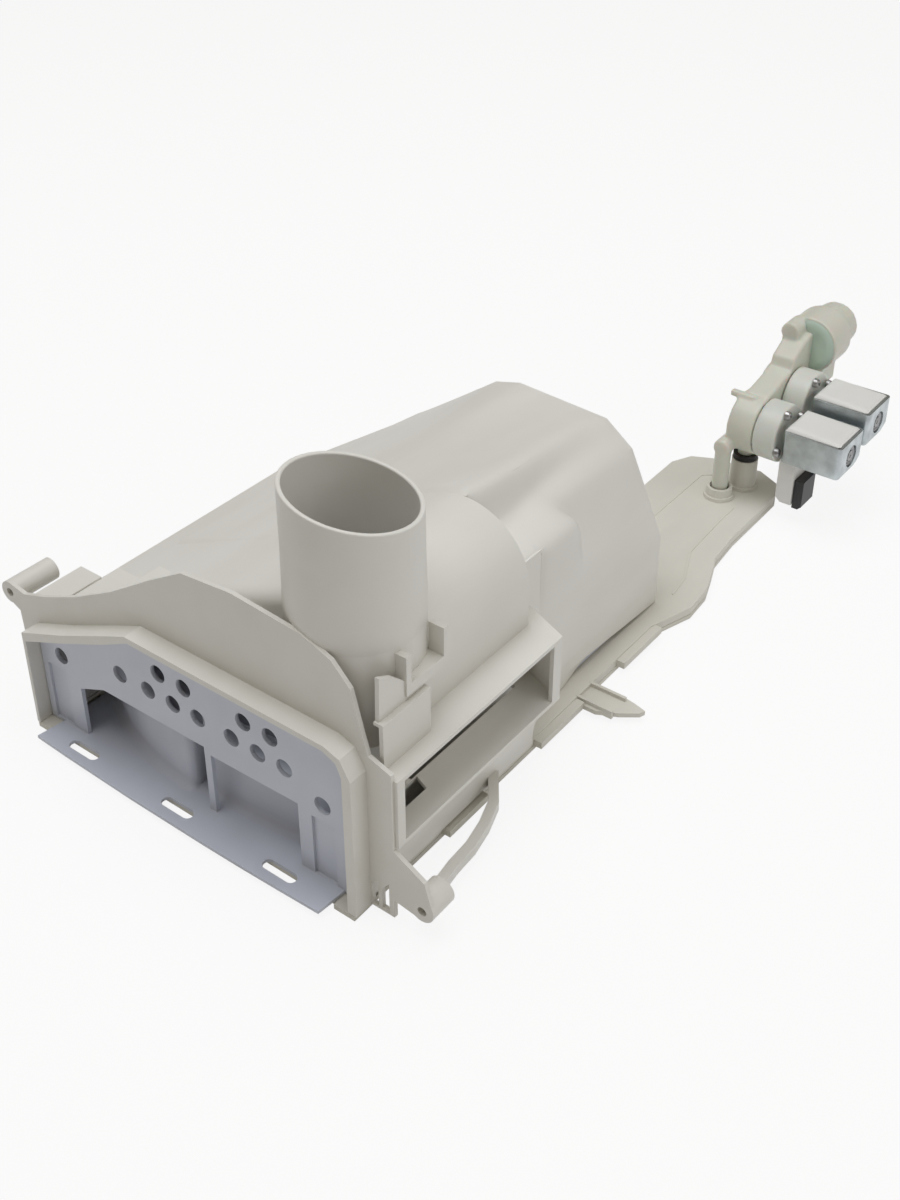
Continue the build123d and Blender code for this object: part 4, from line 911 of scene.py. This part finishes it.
class DISPENSER_OT_stage(bpy.types.Operator):
    """Floor, even light, lamps and camera"""

    bl_idname = "dispenser.stage"
    bl_label = "Stage"

    def execute(self, context):
        studio = context.scene.dispenser_studio
        half = studio.floor / 2
        corners = [(-half, -half, 0), (half, -half, 0), (half, half, 0), (-half, half, 0)]
        mesh = bpy.data.meshes.new("floor")
        mesh.from_pydata(corners, [], [(0, 1, 2, 3)])
        mesh.materials.append(self.seen_white("Floor paper", FLOOR_SHADOWS))
        floor = bpy.data.objects.new("floor", mesh)
        floor.location.z = FLOOR_Z
        context.collection.objects.link(floor)
        self.sky(context, studio.sky)
        self.lamp(context, "Key", KEY_PLACE, KEY_TARGET, KEY_SIZE, studio.key_power)
        self.lamp(context, "Fill", FILL_PLACE, FILL_TARGET, FILL_SIZE, studio.fill_power)
        self.camera(context)
        context.scene.view_settings.view_transform = "Standard"
        return {"FINISHED"}

    def seen_white(self, name, kept):
        """White where it is seen, directly, in metal or through glass; the kept share takes shadows."""
        made = bpy.data.materials.new(name)
        made.use_nodes = True
        tree = made.node_tree
        principled = tree.nodes["Principled BSDF"]
        feed(tree, principled, {"Base Color": (0.9, 0.9, 0.9, 1), "Roughness": 0.9})
        rays = node(tree, "ShaderNodeLightPath").outputs
        seen = reckoned(tree, "MAXIMUM", rays["Is Camera Ray"], rays["Is Glossy Ray"])
        seen = reckoned(tree, "MAXIMUM", seen, rays["Is Transmission Ray"])
        glow = node(tree, "ShaderNodeEmission").outputs["Emission"]
        share = reckoned(tree, "MULTIPLY", seen, 1.0 - kept)
        blend = node(tree, "ShaderNodeMixShader", {"Fac": share, 1: principled.outputs["BSDF"], 2: glow})
        feed(tree, tree.nodes["Material Output"], {"Surface": blend.outputs["Shader"]})
        return made

    def sky(self, context, strength):
        """Even light, white where it is seen."""
        world = bpy.data.worlds.new("Studio")
        world.use_nodes = True
        context.scene.world = world
        tree = world.node_tree
        even = tree.nodes["Background"]
        feed(tree, even, {"Color": SKY_COLOUR, "Strength": strength})
        white = node(tree, "ShaderNodeBackground", {"Color": (1, 1, 1, 1)}).outputs["Background"]
        seen = node(tree, "ShaderNodeLightPath").outputs["Is Camera Ray"]
        blend = node(tree, "ShaderNodeMixShader", {"Fac": seen, 1: even.outputs["Background"], 2: white})
        feed(tree, tree.nodes["World Output"], {"Surface": blend.outputs["Shader"]})

    def lamp(self, context, name, place, target, size, power):
        """A square soft lamp."""
        light = bpy.data.lights.new(name, "AREA")
        light.size = size
        light.energy = power
        light.color = LAMP_COLOUR
        lamp = bpy.data.objects.new(name, light)
        lamp.location = place
        lamp.rotation_mode = "QUATERNION"
        lamp.rotation_quaternion = (Vector(target) - Vector(place)).to_track_quat("-Z", "Y")
        context.collection.objects.link(lamp)

    def camera(self, context):
        """Camera at the photograph's angle."""
        level = math.cos(CAMERA_ELEVATION)
        back = Vector((
            math.sin(CAMERA_AZIMUTH) * level, -math.cos(CAMERA_AZIMUTH) * level, math.sin(CAMERA_ELEVATION)
        ))
        data = bpy.data.cameras.new("Camera")
        data.sensor_width = SENSOR_WIDTH
        data.lens = LENS
        data.shift_x, data.shift_y = CAMERA_SHIFT
        camera = bpy.data.objects.new("Camera", data)
        camera.location = CAMERA_PLACE
        camera.rotation_mode = "QUATERNION"
        camera.rotation_quaternion = (-back).to_track_quat("-Z", "Y")
        context.collection.objects.link(camera)
        context.scene.camera = camera


class DISPENSER_PT_panel(bpy.types.Panel):
    """Lists the pieces and their settings"""

    bl_label = "Dispenser"
    bl_idname = "DISPENSER_PT_panel"
    bl_space_type = "VIEW_3D"
    bl_region_type = "UI"
    bl_category = "Dispenser"

    def draw(self, context):
        for operator in STEPS:
            self.layout.operator(operator.bl_idname)
        scene = context.scene
        for settings in (scene.dispenser_finishes, scene.dispenser_fittings, scene.dispenser_studio):
            for key in settings.__annotations__:
                self.layout.prop(settings, key)


SETTINGS = (DispenserFinishes, DispenserStudio, DispenserFittings)
STEPS = (
    DISPENSER_OT_housing,
    DISPENSER_OT_distributor,
    DISPENSER_OT_drawer,
    DISPENSER_OT_valve,
    DISPENSER_OT_solenoids,
    DISPENSER_OT_connector,
    DISPENSER_OT_stage,
)


def register():
    """Adds the settings, the steps and the panel."""
    for kind in SETTINGS + STEPS + (DISPENSER_PT_panel,):
        bpy.utils.register_class(kind)
    bpy.types.Scene.dispenser_finishes = bpy.props.PointerProperty(type=DispenserFinishes)
    bpy.types.Scene.dispenser_studio = bpy.props.PointerProperty(type=DispenserStudio)
    bpy.types.Scene.dispenser_fittings = bpy.props.PointerProperty(type=DispenserFittings)


def unregister():
    """Takes them away again."""
    del bpy.types.Scene.dispenser_fittings
    del bpy.types.Scene.dispenser_studio
    del bpy.types.Scene.dispenser_finishes
    for kind in reversed(SETTINGS + STEPS + (DISPENSER_PT_panel,)):
        bpy.utils.unregister_class(kind)


def main():
    """Dresses the frame step by step."""
    register()
    bpy.ops.dispenser.housing()
    bpy.ops.dispenser.distributor()
    bpy.ops.dispenser.drawer()
    bpy.ops.dispenser.valve()
    bpy.ops.dispenser.solenoids()
    bpy.ops.dispenser.connector()
    bpy.ops.dispenser.stage()
    bpy.context.view_layer.update()


if __name__ == "__main__":
    main()
